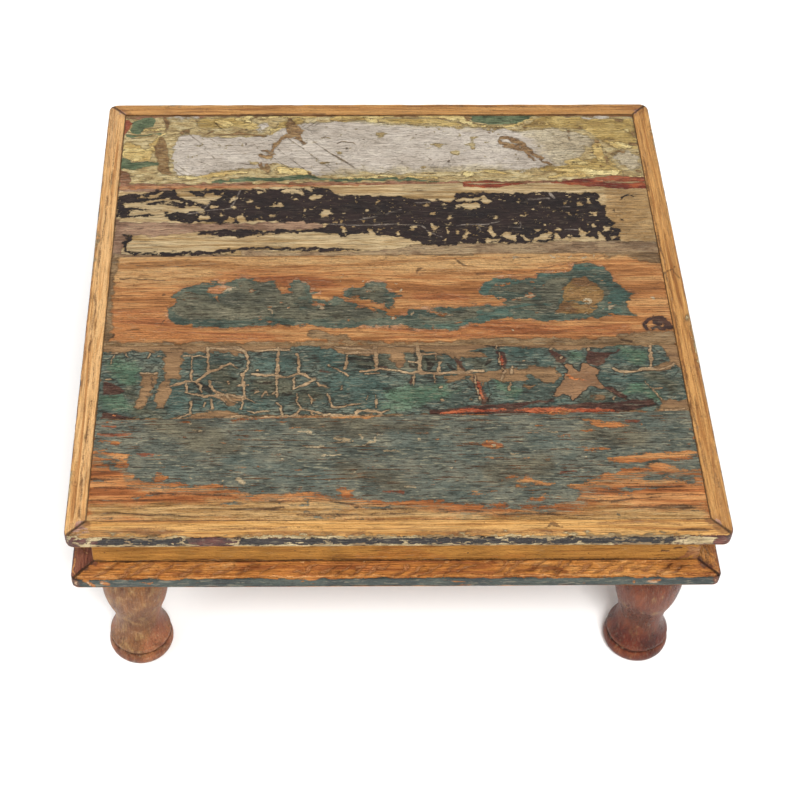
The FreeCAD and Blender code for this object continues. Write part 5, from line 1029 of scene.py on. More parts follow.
# Board 5, at the front: a thin blue-green wash over orange pine with dark open grain.
blueBoard = dict(
    slot="board_blue_green", gloss=0.45,
    wood=dict(axis="X", shift=71, fibre=0.25, dirt=0.9, relief=0.55, lines=0.5, dirtColour="45260F",
        bands=dict(size=6), colours={0.15: "8E5027", 0.4: "B16A38", 0.6: "C8834B", 0.85: "D69A60"}))
blueBoard["coats"] = dict(
    yellowEdge=dict(
        shapes=[[-187, -178, -150, -176, -100, -174, -60, -172, -20, -178, 60, -181, 120, -178, 188, -176,
            188, -188, -188, -188]],
        colours={0.3: "A37E47", 0.5: "C09C63", 0.65: "D2AE75"}, tatter=2.5, tone="bands", streaks=0.22,
        thickness=0, fray=2, soft=2.5, wander=3, wanderSize=7, wanderStretch=8, strength=0.75, level=0),
    thinWash=dict(
        shapes=[(-186, -140, 5, -170, -146, 5, -158, -158, 4, -120, -164, 4, -90, -169, 3.5, -40, -172, 3.5,
            0, -177, 3, 60, -181, 3, 100, -178, 4, 112, -166, 6, 140, -156, 6, 186, -154, 6)],
        colours={0.2: "6A6550", 0.5: "7E775F", 0.8: "928A70"}, tatter=3, bare=0.52, thickness=0.06,
        fray=2.5, soft=1.2, wander=3, wanderSize=6, wanderStretch=6, strength=0.8, level=0.2),
    blueGreenWash=dict(
        shapes=[[-188, -104, -188, -132, -178, -134, -166, -138, -163, -150, -158, -155, -150, -157,
            -147, -151, -141, -152, -142, -160, -125, -160.5, -110, -161, -100, -162.5, -92, -165.5,
            -80, -167.5, -68, -166.5, -60, -163, -50, -167, -40, -168, -31, -163, -25, -168, -15, -174,
            5, -172.5, 20, -171.5, 30, -174, 50, -176.5, 70, -178.5, 90, -178.5, 104, -174, 112, -166,
            100, -161, 120, -157.5, 127, -154, 140, -148, 160, -144, 175, -150, 188, -150, 188, -101,
            100, -103, 0, -105, -100, -107], (-55.5, -172, 1, -56, -180, 1.2), (132, -183, 1.8),
            (150, -156, 1.2, 165, -155, 1.8, 180, -158, 1), (-180, -142, 1, -172, -146, 1.8)],
        holes=[(133, -141, 1.5, 150, -139.5, 3, 165, -137, 2.6, 185, -138, 2.2), (74, -160, 1.2,
            84, -159, 2.4, 96, -161, 1.5), (80, -170, 1.2, 88, -170, 2), (-182, -126, 1, -172, -128, 1.6),
            (10, -114, 0.8, 22, -114.5, 1.2), (89, -114, 0.8, 96, -114, 1), (120, -110, 2, 134, -112, 2.5,
            146, -113, 1.4), (54, -129, 1.2, 60, -129.5, 2.2, 67, -129, 1.2)],
        flakes=[(2.4, 1.3, 5, 1)], islands=[(3.5, 1.1, 5, 0.9)], islandRoom=9,
        colours={0.12: "50554C", 0.4: "63675B", 0.62: "747465", 0.88: "86836F"}, tatter=2.8, cuts=0.7,
        ridgesWearAndHighlight=0.45, ridgeWearAndHighlightColour="C0B694", bare=0.2, thickness=0.12, wander=2, wanderSize=2.8,
        # the dark rim outside its edge is dirt and a painted shadow line
        wanderStretch=6, fray=1.1, soft=0.35, rim=0.3, rimDirtAndShadeColour="5F3A22"),
    bluerWash=dict(
        softPatch,
        shapes=[[-144, -150, -140, -160, -126, -160, -122, -150, -134, -146],
            (-100, -142, 6, -70, -150, 7, -40, -156, 5), (0, -125, 7, 30, -130, 8, 50, -140, 5),
            (90, -125, 6, 110, -132, 6), (20, -160, 5, 50, -166, 5), (160, -112, 5, 180, -120, 6)],
        colours={0.2: "535C53", 0.5: "646E64", 0.8: "777E71"}, tatter=3, cuts=0.5, streaks=0.16, wander=4,
        wanderSize=8, wanderStretch=3, strength=0.7, onlyOver="blueGreenWash"),
    greyBrownWash=dict(
        softPatch,
        shapes=[(-150, -112, 7, -125, -120, 10, -100, -132, 6), (-60, -112, 5, -20, -114, 6, 20, -118, 4),
            (60, -150, 7, 90, -146, 6), (120, -120, 7, 150, -124, 7), (-30, -148, 6, 0, -158, 5)],
        colours={0.2: "564E3D", 0.5: "68604C", 0.8: "787058"}, tatter=3, cuts=0.5, streaks=0.16, wander=4,
        wanderSize=8, wanderStretch=3, strength=0.7, onlyOver="blueGreenWash"),
    redDabs=dict(
        shapes=[(-183, -112.5, 0.8, -175, -113.5, 1), (-185, -120, 0.8, -172, -121, 1.2, -165, -120, 0.6),
            (55, -129, 0.6, 61, -128.5, 1.2, 66, -129.5, 0.6), (-160, -136, 0.6, -150, -137, 0.8),
            (146, -111, 0.7, 154, -110.5, 0.5), (100, -152, 0.6, 110, -151.5, 0.6),
            (-8, -166, 0.6, 4, -167, 0.8)],
        colours={0.35: "7C3B22", 0.55: "96502F", 0.7: "A9643C"}, tatter=0.8, thickness=-0.05, wander=0.9,
        wanderStretch=3, fray=0.6, level=0.5, strength=0.85),
    darkGrain=dict(
        shapes=[(-187, -171, 0.4, -165, -172, 0.9, -140, -171, 0.4), (-182, -162, 0.5, -168, -163, 1,
            -158, -162.5, 0.4), (-120, -178, 0.4, -95, -179, 0.8, -70, -178, 0.4), (-60, -182, 0.4,
            -30, -183, 0.8, 10, -182, 0.4), (-10, -180, 0.5, 20, -180.5, 1, 50, -181, 0.4), (60, -183, 0.4,
            100, -183.5, 0.9, 130, -182.5, 0.4), (110, -172, 0.5, 130, -173, 1, 160, -171, 0.5),
            (140, -162, 0.5, 160, -163, 1, 186, -162, 0.5), (135, -178, 0.4, 165, -179, 1, 186, -178, 0.5),
            (-150, -166, 0.5, -130, -167, 1, -100, -169, 0.4), (-180, -182, 0.5, -150, -183, 0.9,
            -120, -184, 0.4), (-90, -173, 0.4, -70, -174, 0.8, -62, -173, 0.4), (-40, -173, 0.4,
            -30, -176, 0.8, -20, -179, 0.3), (165, -170, 0.5, 176, -169.5, 0.9, 186, -170, 0.4),
            (118, -165, 0.4, 132, -166, 0.9, 140, -165.5, 0.4), (61, -131.5, 0.8), (-187, -149, 0.4,
            -176, -150, 0.8, -166, -149, 0.3), (-187, -156, 0.5, -178, -156.5, 0.8, -170, -156, 0.3)],
        flakes=[(1.6, 0.55, 7, 1)], colours={0.4: "3B2618", 0.6: "5A3B26"}, thickness=-0.25, wander=1.4,
        wanderSize=5, wanderStretch=5, fray=0.7, level=0, strength=0.85, soft=0.4),
    paleSpots=dict(
        shapes=[(-37, -124, 0.8, -28, -125, 0.8), (-36, -127, 0.6, -27, -127, 0.6),
            (-22, -121, 0.8, -20, -124, 0.8), (-20, -129, 0.5, -13, -126, 0.6, -11, -122, 0.5),
            (-11, -120, 0.6, -7, -120, 0.6), (-60, -118, 0.5, -52, -119, 0.6), (-58, -130, 0.4,
            -48, -131, 0.7, -44, -130, 0.4), (-45, -138, 0.5, -34, -137, 0.5),
            (-8, -133, 0.5, 2, -134, 0.5), (-97, -156, 1.7, -94, -159, 1.2), (-106, -157.5, 0.9),
            (-126, -155, 0.7), (-41, -157, 0.9), (-26, -150, 0.9), (15, -125, 0.9), (-128, -112, 0.9),
            (-126, -117, 0.6, -120, -117.5, 0.6), (61, -129.8, 0.8), (-70, -141, 0.6), (34, -148, 0.7),
            (72, -137, 0.6, 77, -136.5, 0.4), (118, -139, 0.7), (148, -131, 0.6), (-146, -143, 0.8),
            (-160, -128, 0.6), (96, -119, 0.7, 102, -119.5, 0.4), (170, -127, 0.6),
            (5, -162, 0.5, 11, -163, 0.5)],
        colours={0.35: "A68F6C", 0.6: "BFAA86"}, thickness=-0.08, wander=0.8, wanderSize=2, level=0.5))

boards = []
for index, look in enumerate([whiteBoard, blackBoard, pineBoard, greenBoard, blueBoard]):
    boards.append(makeBoard(index, look, makeFinish(look["slot"], look)))
print("boards:", len(boards))

# A rail's mesh, in mm. Each drift is the size of its lumps and how far they are drawn out.
railMesh = {
    "pitch": 0.9,
    "cornerRings": 9,
    "roundPitch": 0.4,
    "grainDrift": (2.2, 20),
    "waveDrift": (14, 2),
    "dentDrift": (5, 1.5),
    "dentUneven": 0.8,
}
sideNames = ["front", "right", "back", "left"]


# A closed section of (inward, up, radius, pitch) corners, walked up its outer face, in over the
# top and back below. Gives each point, the way into the wood there and how far along it lies.
def walkSection(corners):
    spots = [Vector(corner[:2]) for corner in corners]
    count = len(corners)

    def turn(index):
        before = (spots[index] - spots[index - 1]).normalized()
        after = (spots[(index + 1) % count] - spots[index]).normalized()
        radius = corners[index][2]
        reach = radius * math.tan(before.angle(after) / 2)
        return spots[index] - before * reach, spots[index] + after * reach, before, after, radius

    points, inwards, lengths = [], [], []
    length = 0.0
    for index in range(count):
        start = turn(index)[1]
        end, _, before, after, radius = turn((index + 1) % count)
        run = (end - start).length
        steps = max(1, round(run / corners[index][3]))
        side = Vector((before.y, -before.x))
        nextSide = Vector((after.y, -after.x))
        for step in range(steps):
            points.append(start.lerp(end, step / steps))
            inwards.append(side)
            lengths.append(length + run * step / steps)
        length += run
        if radius:
            bend = side.angle(nextSide)
            steps = max(2, round(radius * bend / railMesh["roundPitch"]))
            for step in range(steps):
                way = side.slerp(nextSide, step / steps)
                points.append(end + side * radius - way * radius)
                inwards.append(way)
                lengths.append(length + radius * bend * step / steps)
            length += radius * bend
    return np.array(points), np.array(inwards), np.array(lengths)


# One of four mitred rails: its section is carried along the side and fanned round the outer corner.
# A coat's shapes are the front's, and the other sides' too unless it has otherShapes for these;
# sideShapes are added on the side that they name.
def makeRail(kind, side, look, material):
    node = f"{kind}_{sideNames[side]}"
    low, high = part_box(node)
    alongX = side % 2 == 0
    length = 2 * max(high.x, -low.x, high.y, -low.y) / mm
    depth = (high.y - low.y if alongX else high.x - low.x) / mm
    corner, slant = look["corner"], look["slant"]
    section, inward, walked = walkSection(look["section"](low.z / mm, high.z / mm, depth))
    fan = railMesh["cornerRings"]
    straight = round((length - 2 * depth) / railMesh["pitch"])
    rings = straight + 2 * fan
    rows = len(section)
    sheet = bmesh.new()
    bmesh.ops.create_grid(sheet, x_segments=rings, y_segments=rows, size=0.5)
    ring = np.array([round((vertex.co.x + 0.5) * rings) for vertex in sheet.verts])
    row = np.array([round((vertex.co.y + 0.5) * rows) % rows for vertex in sheet.verts])

    # where a point lies from the near outer corner, for its ring and its depth into the rail
    def lay(at, deep):
        share = np.clip(np.minimum(at, rings - at) / fan, 0, 1)
        bend = np.radians(45) * (1 - share)
        outerX, outerY = corner - corner * np.sin(bend), corner - corner * np.cos(bend)
        innerX, innerY = depth + slant * share, depth
        part = deep / depth
        endX = outerX + (innerX - outerX) * part
        across = np.clip((at - fan) / straight, 0, 1)
        far = at > rings / 2
        x = np.where(share < 1, np.where(far, length - endX, endX), endX + (length - 2 * endX) * across)
        return x, outerY + (innerY - outerY) * part

    x, y = lay(ring, section[row, 0])
    along, walk = x - length / 2, walked[row]
    seed = look["seed"] + 50 * side

    def wavy(form, offset):
        size, stretch = railMesh[form]
        return drift(along, walk, size, seed + offset, stretch)

    relief = look["grainDepth"] * (1 + wavy("grainDrift", 0)) / 2
    relief += look["waves"] * (1 + wavy("waveDrift", 1)) / 2
    dents = np.clip(1 + railMesh["dentUneven"] * wavy("dentDrift", 2), 0, 2)
    for place, reach, amount in look["worn"]:
        relief += amount * dents * np.exp(-((walk - place) / reach) ** 2)
    fields = {}
    for number, (coatName, coat) in enumerate(coatsOf(look).items()):
        shapes = coat["shapes"] if side == 0 else coat.get("otherShapes", coat["shapes"])
        shapes = shapes + coat.get("sideShapes", {}).get(sideNames[side], [])
        fields[coatName] = coatField(along, walk, dict(coat, shapes=shapes), seed + 11 + 10 * number)
        relief -= stepUp(fields[coatName]) * coat["lift"]
    relief = np.maximum(relief, 0)
    x, y = lay(ring, np.clip(section[row, 0] + inward[row, 0] * relief, 0, depth))
    z = section[row, 1] + inward[row, 1] * relief
    for vertex, px, py, pz in zip(sheet.verts, x - length / 2, y - length / 2, z):
        vertex.co = (px * mm, py * mm, pz * mm)
    heading = Matrix.Rotation(math.radians(90 * side), 3, "Z")
    bmesh.ops.rotate(sheet, verts=sheet.verts, cent=(0, 0, 0), matrix=heading)
    writeFields(sheet, fields)
    bmesh.ops.remove_doubles(sheet, verts=sheet.verts, dist=hair * mm)
    bmesh.ops.holes_fill(sheet, edges=[edge for edge in sheet.edges if edge.is_boundary], sides=0)
    bmesh.ops.recalc_face_normals(sheet, faces=sheet.faces)
    return finishPiece(sheet, f"{node}_worn", material, node)


# The strips round the top: waxed yellow pine on top, and old black and maroon paint outside.
stripRail = dict(
    corner=6, slant=6, seed=700, grainDepth=0.08, waves=0.12, slots=["strip_pine"] * 4,
    section=lambda low, high, depth: [(0, low, 0.4, 0.7), (0, high, 1.5, 0.7), (depth, high, 0.4, 3),
        (depth, low, 0.3, 3)],
    worn=[(9.2, 1.3, 0.22), (0.3, 0.8, 0.25), (21.8, 0.6, 0.15)], gloss=0.42,
    wood=dict(shift=91, fibre=0.2, dirt=0.35, relief=0.35, lines=0.75, cloud=0.08, dirtColour="6B4320",
        bands=dict(size=3.2, stretch=32), rings=dict(size=8),
        colours={0.15: "A06A38", 0.4: "C8924F", 0.6: "DCAB68", 0.85: "B88146"}))
stripRail["coats"] = dict(
    brownScuffs=dict(
        shapes=[(-200, 10.5, 2, -190, 14, 3, -186, 20, 2), (-190, 13, 2, -160, 12.5, 2.5, -130, 13, 1.5),
            (186, 20, 2, 192, 14, 2.5, 200, 11, 2), (-178, 21.5, 0.8, -120, 22, 0.6),
            (20, 12, 1, 60, 11.5, 1.2, 100, 12, 0.8), (-90, 11.5, 0.8, -50, 12, 1.2, -20, 11.5, 0.7),
            (-200, 22.5, 0.6, 0, 22.8, 0.7, 200, 22.5, 0.6), (120, 18, 0.8, 150, 19, 1.2, 168, 18, 0.8)],
        colours={0.3: "7A4E2E", 0.5: "94653A", 0.7: "A97A48"}, tatter=1.2, thickness=-0.02, wander=1.4,
        wanderStretch=4, fray=1.2, soft=0.8, strength=0.8),
    paleLeft=dict(
        sideShapes=dict(left=[[-204, 10, 204, 10, 204, 26, -204, 26]]),
        colours={0.15: "B27C46", 0.4: "D29E66", 0.6: "E4B882", 0.85: "C08C54"}, tatter=2, tone="bands",
        thickness=0, fray=1, soft=1, strength=0.7, streaks=0.25, cuts=0.05, ridgesWearAndHighlight=0.05),
    orangeRight=dict(
        sideShapes=dict(right=[[-204, 10, 204, 10, 204, 26, -204, 26]],
            back=[[-204, 10, 204, 10, 204, 26, -204, 26]]),
        colours={0.15: "8E5A2A", 0.4: "B07A42", 0.6: "C48E52", 0.85: "9C6834"}, tatter=2, tone="bands",
        thickness=0, fray=1, soft=1, strength=0.7, streaks=0.25, cuts=0.05, ridgesWearAndHighlight=0.05),
    stripMarks=dict(
        shapes=[(88, 15, 0.8, 92, 18, 1.4, 97, 16, 0.6), (166, 13, 0.5, 180, 12.5, 1.2, 188, 13, 0.5),
            (-120, 14.5, 0.4, -60, 15.5, 0.5)],
        otherShapes=[],
        sideShapes=dict(right=[(16, 10.5, 0.5, 24, 15, 0.7, 20, 23, 0.6), (27, 13, 1.2), (-98, 21, 1.8),
            (-88, 20, 0.6, -60, 19.5, 0.4), (-150, 19, 0.4, -100, 20, 0.5, -50, 19, 0.4, 40, 20, 0.5,
            140, 19.5, 0.4)], left=[(-100, 14, 0.3, -20, 13.5, 0.5, 80, 14, 0.3),
            (-160, 17, 0.3, -90, 16.5, 0.5), (60, 17.5, 0.3, 150, 17, 0.5, 185, 17.5, 0.3)],
            back=[(-160, 12, 0.5, -60, 12.5, 0.4), (40, 21, 0.9, 80, 21.5, 1.2, 110, 21, 0.8)]),
        colours={0.3: "4E3019", 0.6: "704A28"}, tatter=0.7, thickness=-0.1, wander=0.8, wanderStretch=4,
        fray=0.6, soft=0.3, strength=0.75),
    pinkScuffs=dict(
        shapes=[(-198, 13, 0.6, -190, 17, 1.4, -186, 15, 0.6), (-196, 19, 0.5, -188, 21, 0.8),
            (-193, 12, 0.5, -186, 12.5, 0.7)],
        otherShapes=[(-196, 14, 0.6, -190, 18, 1.2), (192, 16, 1, 188, 20, 0.8)],
        colours={0.35: "A07060", 0.6: "C09880"}, thickness=-0.05, wander=1.2, fray=0.8),
    seamDirt=dict(
        shapes=[(-190, 22, 0.9, 0, 22.1, 0.8, 190, 22, 0.9), (-198.3, -1, 0.7, -198.3, 8.5, 0.7,
            -196.9, 10.5, 0.7, -187.2, 21.8, 0.7), (198.3, -1, 0.7, 198.3, 8.5, 0.7, 196.9, 10.5, 0.7,
            187.2, 21.8, 0.7)],
        colours={0.3: "3A2412", 0.7: "573A20"}, tatter=0.4, thickness=-0.2, wander=0, fray=0.3,
        grainFray=0.1, soft=0.3, strength=0.85, cuts=0, ridgesWearAndHighlight=0),
    maroonFace=dict(
        shapes=[[-205, -8, 205, -8, 205, 8.9, -205, 8.9]], flakes=[(2.4, 1, 3, 1)],
        colours={0.3: "3F211D", 0.5: "5A3029", 0.7: "74453A"}, tatter=0.7, streaks=0.15, thickness=0.12,
        # the faint dark rim outside its edge is dirt and a painted shadow line
        wander=0.6, rim=0.2, lift=0.08),
    blackBand=dict(
        shapes=[[-181, 1.6, -150, 0.9, -120, 1.3, -80, 0.8, -40, 1.5, 0, 0.9, 50, 1.4, 90, 0.8, 130, 1.4,
            160, 1.1, 167, 3, 164, 6, 167, 8.2, 120, 8.7, 80, 8.3, 40, 8.8, 0, 8.4, -40, 8.8, -80, 8.3,
            -120, 8.8, -178, 8.5, -180, 5]],
        otherShapes=[[-120, 2, -60, 1.2, -20, 2, -20, 7.5, -80, 8.4, -122, 7],
            [60, 1.5, 130, 1.2, 132, 8, 62, 8.4]],
        holes=[[-126, 2, -96, 1.2, -95, 8, -110, 8.6, -127, 8]], flakes=[(2, 1.15, 2.5, 1)],
        colours={0.3: "191514", 0.55: "251F1E", 0.7: "362E2B"}, tatter=0.7, streaks=0.1, thickness=0.1,
        wander=0.7, wanderSize=3, fray=0.4, lift=0.06),
    creamChips=dict(
        shapes=[(-198, 8.8, 0.6, -180, 8.6, 0.8, -150, 8.8, 0.9, -128, 8.9, 0.5), (-97, 8.8, 0.7,
            -60, 8.9, 0.8, 0, 8.7, 0.9, 60, 8.9, 0.8, 120, 8.7, 0.9, 166, 8.9, 0.9), (-190, 1.2, 0.8,
            -150, 0.6, 1.1, -120, 0.9, 1), (-98, 0.6, 1, -80, 0.5, 1, -40, 1, 1.3, 0, 0.6, 1, 50, 1, 1.2,
            90, 0.5, 1, 130, 1, 1.3, 166, 0.9, 1), (-103, 8.6, 0.6, -96, 6.5, 0.9, -97, 3, 0.9,
            -104, 1.8, 0.6), (-127, 8.4, 0.5, -130, 5, 0.7, -126, 2, 0.5), [162, 2.5, 165, 5, 163, 8,
            172, 8.8, 183, 8.6, 189, 7, 187, 4, 189, 1.2, 178, 0.4, 166, 0.8], (-42, 4.6, 2.1),
            (152, 5, 0.5, 154, 6.5, 0.4), (156.5, 3.5, 0.7), (158, 7, 0.5), (-183, 6.5, 0.8, -187, 4, 0.8,
            -184, 2.5, 0.7, -189, 1.5, 0.6), (-192, 7, 0.7, -194, 4, 0.7, -191, 3, 0.6),
            (-197, 8, 0.5, -198, 4, 0.6)],
        otherShapes=[(-170, 4, 1, -166, 6, 1.4), (-60, 9.2, 0.5, -20, 9, 0.4), (30, 0.4, 0.8, 70, 0.6, 0.7),
            (100, 5, 1.2, 104, 4, 0.8), (150, 8.8, 0.7, 170, 9, 0.6), (-120, 0.4, 0.7, -100, 0.6, 0.6)],
        holes=[(-42, 4.6, 1.1), (166.5, 6.3, 0.5, 171.5, 6.1, 0.5), (169, 3.2, 0.5, 178.5, 3, 0.6)],
        flakes=[(1.8, 0.95, 2, 0.8)], islands=[(1.8, 0.75, 2.5, 1)], islandRoom=2.6,
        colours={0.3: "8E7450", 0.5: "B39C72", 0.7: "CDB78C"}, tatter=0.7, thickness=0.12, wander=1.1,
        # the dark rim round each chip is dirt and a painted shadow line
        wanderSize=2.2, rim=0.5, rimDirtAndShadeColour="2E2118"))

# The set-back neck: smooth ochre paint at the front and back, maroon at the sides.
neckRail = dict(
    corner=1.5, slant=3, seed=1100, grainDepth=0.06, waves=0.12,
    slots=["neck_ochre_paint", "neck_maroon_paint", "neck_ochre_paint", "neck_maroon_paint"],
    section=lambda low, high, depth: [(0, low, 0.1, 0.9), (0, high, 0.1, 3), (depth, high, 0.1, 3),
        (depth, low, 0.1, 3)],
    worn=[(0.5, 1, 0.12)], gloss=0.5,
    wood=dict(shift=131, fibre=0.16, dirt=0.5, relief=0.3, lines=0.25, dirtColour="6B4320",
        bands=dict(size=6), colours={0.15: "915E26", 0.4: "AC7735", 0.6: "BB843D", 0.85: "99682B"}))
neckRail["coats"] = dict(
    verticalStains=dict(
        shapes=[(-130, 2, 5, -128, 30, 5), (-104, 0, 4, -106, 30, 5), (-80, 4, 5, -78, 30, 4),
            (-55, 0, 4, -52, 30, 4), (-38, 2, 3, -40, 30, 4), (90, 2, 5, 92, 30, 4),
            (140, 0, 4, 138, 30, 5)],
        colours={0.3: "8F6226", 0.6: "A0702E"}, thickness=0, fray=2, soft=4, wander=2, strength=0.45),
    orangeWear=dict(
        shapes=[(-22, 3, 3, 0, 6, 5, 28, 4, 3), (-10, 14, 3, 20, 16, 3), (60, 2, 1, 80, 1.5, 1.5)],
        colours={0.3: "96561F", 0.6: "AE6C2C"}, thickness=0, fray=1.5, soft=2.2, wander=2.5, strength=0.6),
    darkSpecks=dict(
        shapes=[(163, 9, 0.7, 167, 8.5, 0.5), (170, 11, 0.6, 174, 11.5, 0.8), (44, 7, 0.8), (-179, 9, 0.5),
            (-172, 5, 0.5), (-120, 1.2, 0.6, -112, 1, 0.4), (-62, 10, 0.5), (118, 6, 0.6), (96, 12, 0.5),
            (-187, 0.4, 0.5, 0, 0.3, 0.6, 187, 0.4, 0.5)],
        colours={0.4: "3E2517", 0.6: "5B3820"}, thickness=-0.1, wander=0.5, strength=0.9),
    cornerScuff=dict(
        shapes=[(177, 2, 1.5, 182, 8, 3.4, 186, 14, 2.5), (183, 1, 2, 187, 6, 2),
            (187, 20, 1.2, 186.5, 28, 1)],
        otherShapes=[(-187, 0, 1.4, -186.5, 30, 1), (187, 0, 1.2, 186.5, 30, 1.2)],
        colours={0.2: "7C4C2C", 0.5: "98623A", 0.8: "AE7C50"}, tatter=1.2, thickness=-0.05, fray=1.2,
        wander=1.8))

# The sides' neck rails: the same marks on darker paint.
maroonNeck = dict(
    neckRail,
    wood=dict(neckRail["wood"], dirtColour="24110E",
        colours={0.25: "46211B", 0.45: "5B3027", 0.6: "6B3D31", 0.8: "4F2720"}),
    coats=dict(neckRail["coats"], verticalStains=dict(neckRail["coats"]["verticalStains"],
        colours={0.3: "38201A", 0.6: "4A2C22"})))

# The flat base: worn orange wood on its ledge, grey-green paint on its outer face.
baseRail = dict(
    corner=4.5, slant=12, seed=1500, grainDepth=0.1, waves=0.25,
    slots=["base_worn_pine", "base_maroon_wash", "base_worn_pine", "base_maroon_wash"],
    section=lambda low, high, depth: [(0, low, 0.6, 0.8), (0, high - 1.1, 1.2, 0.8), (13, high, 0, 5),
        (depth, high, 0.3, 5), (depth, low, 0.3, 5)],
    worn=[(8.6, 1.1, 0.3), (0.2, 0.9, 0.3)], gloss=0.45,
    wood=dict(shift=171, fibre=0.2, dirt=0.6, relief=0.45, lines=0.4, dirtColour="5A2C14",
        bands=dict(size=4), colours={0.15: "8C5028", 0.4: "B06E3A", 0.6: "C8843F", 0.85: "A0602F"}))
baseRail["coats"] = dict(
    paleGouges=dict(
        shapes=[(-186, 10, 0.5, -180, 15, 0.9, -173, 21, 0.6), (-160, 19, 0.4, -157, 21, 0.6),
            (-130, 20, 0.5, -127, 21.5, 0.5), (-60, 19.5, 0.4, -56, 21, 0.6),
            (-20, 20, 0.5, -17, 21.5, 0.5), (10, 19, 0.4, 14, 21, 0.6), (30, 19, 0.5, 33, 21, 0.6),
            (55, 19.5, 0.4, 58, 21, 0.5), (100, 19, 0.5, 104, 21, 0.7), (112, 19.5, 0.4, 116, 21, 0.6),
            (128, 19, 0.5, 131, 21, 0.6), (140, 18.5, 0.5, 144, 20.5, 0.8),
            (150, 18.5, 0.6, 154, 20.5, 0.8), (160, 18, 0.6, 164, 20, 0.8), (170, 17, 0.6, 174, 20, 0.8),
            (-200, 9.6, 0.4, -100, 9.8, 0.5, 0, 9.6, 0.4, 100, 9.8, 0.5, 200, 9.6, 0.4)],
        flakes=[(3, 0.9, 3, 0.8)], colours={0.3: "C98A4C", 0.6: "DDA468"}, thickness=-0.15, wander=0.9,
        strength=0.85),
    paleLedge=dict(
        softPatch, shapes=[[-185, 11, -100, 12, -100, 21, -178, 21], [60, 12, 187, 11, 180, 21, 70, 21]],
        otherShapes=[[-198, 10, -150, 11, -150, 22, -188, 22]],
        colours={0.2: "AF6F35", 0.5: "D18D44", 0.8: "E6A85E"}, wander=3, strength=0.7),
    gouges=dict(
        shapes=[(x, 11.5, 0.4, x + 5, 14, 0.95, x + 12, 18.5, 0.4) for x in (-184, -171, -163, -149, -132,
            -111, -98, -83, -60, -47, -39, -28, -17, -4, 6, 15, 28, 39, 58, 66, 79, 90, 97, 109, 121, 133,
            146, 158, 168)],
        colours={0.2: "643318", 0.5: "804822", 0.8: "A06038"}, tatter=0.6, thickness=-0.4, wander=2.2,
        # their pale lip is worn wood and a painted highlight, the dark rim beside them dirt and a painted
        # shadow line
        wanderSize=7, lip=0.8, lipWearAndHighlightColour="E0A268", rim=0.4, rimDirtAndShadeColour="54290F", strength=0.8),
    darkWear=dict(
        shapes=[(74, 13, 1.2, 88, 15, 2, 104, 13.5, 1.4), (-150, 12, 0.8, -120, 13, 1),
            (20, 12, 0.8, 40, 13, 1.2), (-187, 22.3, 0.8, 0, 22.5, 0.9, 187, 22.3, 0.8)],
        colours={0.3: "6A3418", 0.6: "844A26"}, tatter=1.2, thickness=-0.05, fray=1, soft=0.8, wander=1.5,
        strength=0.7),
    greenFace=dict(
        shapes=[[-205, -12, 205, -12, 205, 8.2, -205, 8.2]],
        otherShapes=[[-205, -12, 205, -12, 205, 8.2, -205, 8.2]],
        holes=[(-191, 7, 1.2, -188, 4, 1.4, -187, 1, 1), (-181, 5, 1.8, -177, 3, 1.4),
            (145.5, 5, 0.6, 147, 2, 0.6), (156, 4, 0.9, 162, 5, 0.9), (-60, 7.6, 0.8, -50, 7.8, 0.9),
            (40, 0.6, 0.6, 46, 0.8, 0.7), (-197, 5, 1.5, -199, 2, 1.5), (197, 6, 1.5, 199, 2, 1.2)],
        flakes=[(2.4, 1.15, 3, 1)], colours={0.3: "373F3E", 0.5: "424B46", 0.7: "515952"}, tatter=0.9,
        # the dark rim round its chips is dirt and a painted shadow line
        streaks=0.14, ridgesWearAndHighlight=0.3, thickness=0.12, fray=0.6, wander=0.8, rim=0.3, rimDirtAndShadeColour="5A3424",
        lift=0.08),
    maroonEnds=dict(
        shapes=[[-201, 0, -195, 0, -194, 8, -201, 9], [195, 0, 201, 0, 201, 9, 194, 8],
            (-200, 11, 1.5, -193, 16, 2.5, -187, 21, 2), (187, 20, 1.5, 193, 15, 2.5, 200, 11, 1.5)],
        colours={0.3: "5B3226", 0.6: "7E4C3A"}, tatter=1.2, fray=1, wander=1.5, strength=0.85, soft=0.5),
    creamChips=dict(
        shapes=[(-190, 6, 0.6, -188, 3, 0.6), (-180, 4.5, 0.9), (156, 4.5, 1, 160, 4, 0.8), (146, 4, 0.5),
            (-196, 7, 0.5, -197, 3, 0.5), (197, 4, 0.6)],
        colours={0.3: "B58C6C", 0.6: "CFAE8A"}, fray=0.6, wander=0.8, thickness=0.02),
    mitreLines=dict(
        shapes=[(-198.7, -1, 0.6, -198.7, 7.2, 0.6, -197.6, 9, 0.6, -186, 20.9, 0.6), (198.7, -1, 0.6,
            198.7, 7.2, 0.6, 197.6, 9, 0.6, 186, 20.9, 0.6), (-187, 20.9, 0.5, 0, 21, 0.4, 187, 20.9, 0.5)],
        colours={0.3: "2E1A0E", 0.7: "46280F"}, tatter=0.4, thickness=-0.2, wander=0, fray=0.25,
        grainFray=0.1, soft=0.2, strength=0.9, cuts=0, ridgesWearAndHighlight=0))

maroonBase = dict(
    baseRail,
    wood=dict(baseRail["wood"], dirtColour="3A1E16",
        colours={0.15: "63382A", 0.4: "804A36", 0.6: "966048", 0.85: "704030"}))

rails = []
for kind, looks in {"edge_strip": (stripRail, stripRail), "neck_rail": (neckRail, maroonNeck),
                    "base_rail": (baseRail, maroonBase)}.items():
    for alongY, look in enumerate(looks):
        axis = "XY"[alongY]
        look = dict(look, wood=dict(look["wood"], axis=axis))
        material = makeFinish(f"{look['slots'][alongY]}_{axis}", look)
        rails += [makeRail(kind, side, look, material) for side in (alongY, alongY + 2)]
print("rails:", len(rails))

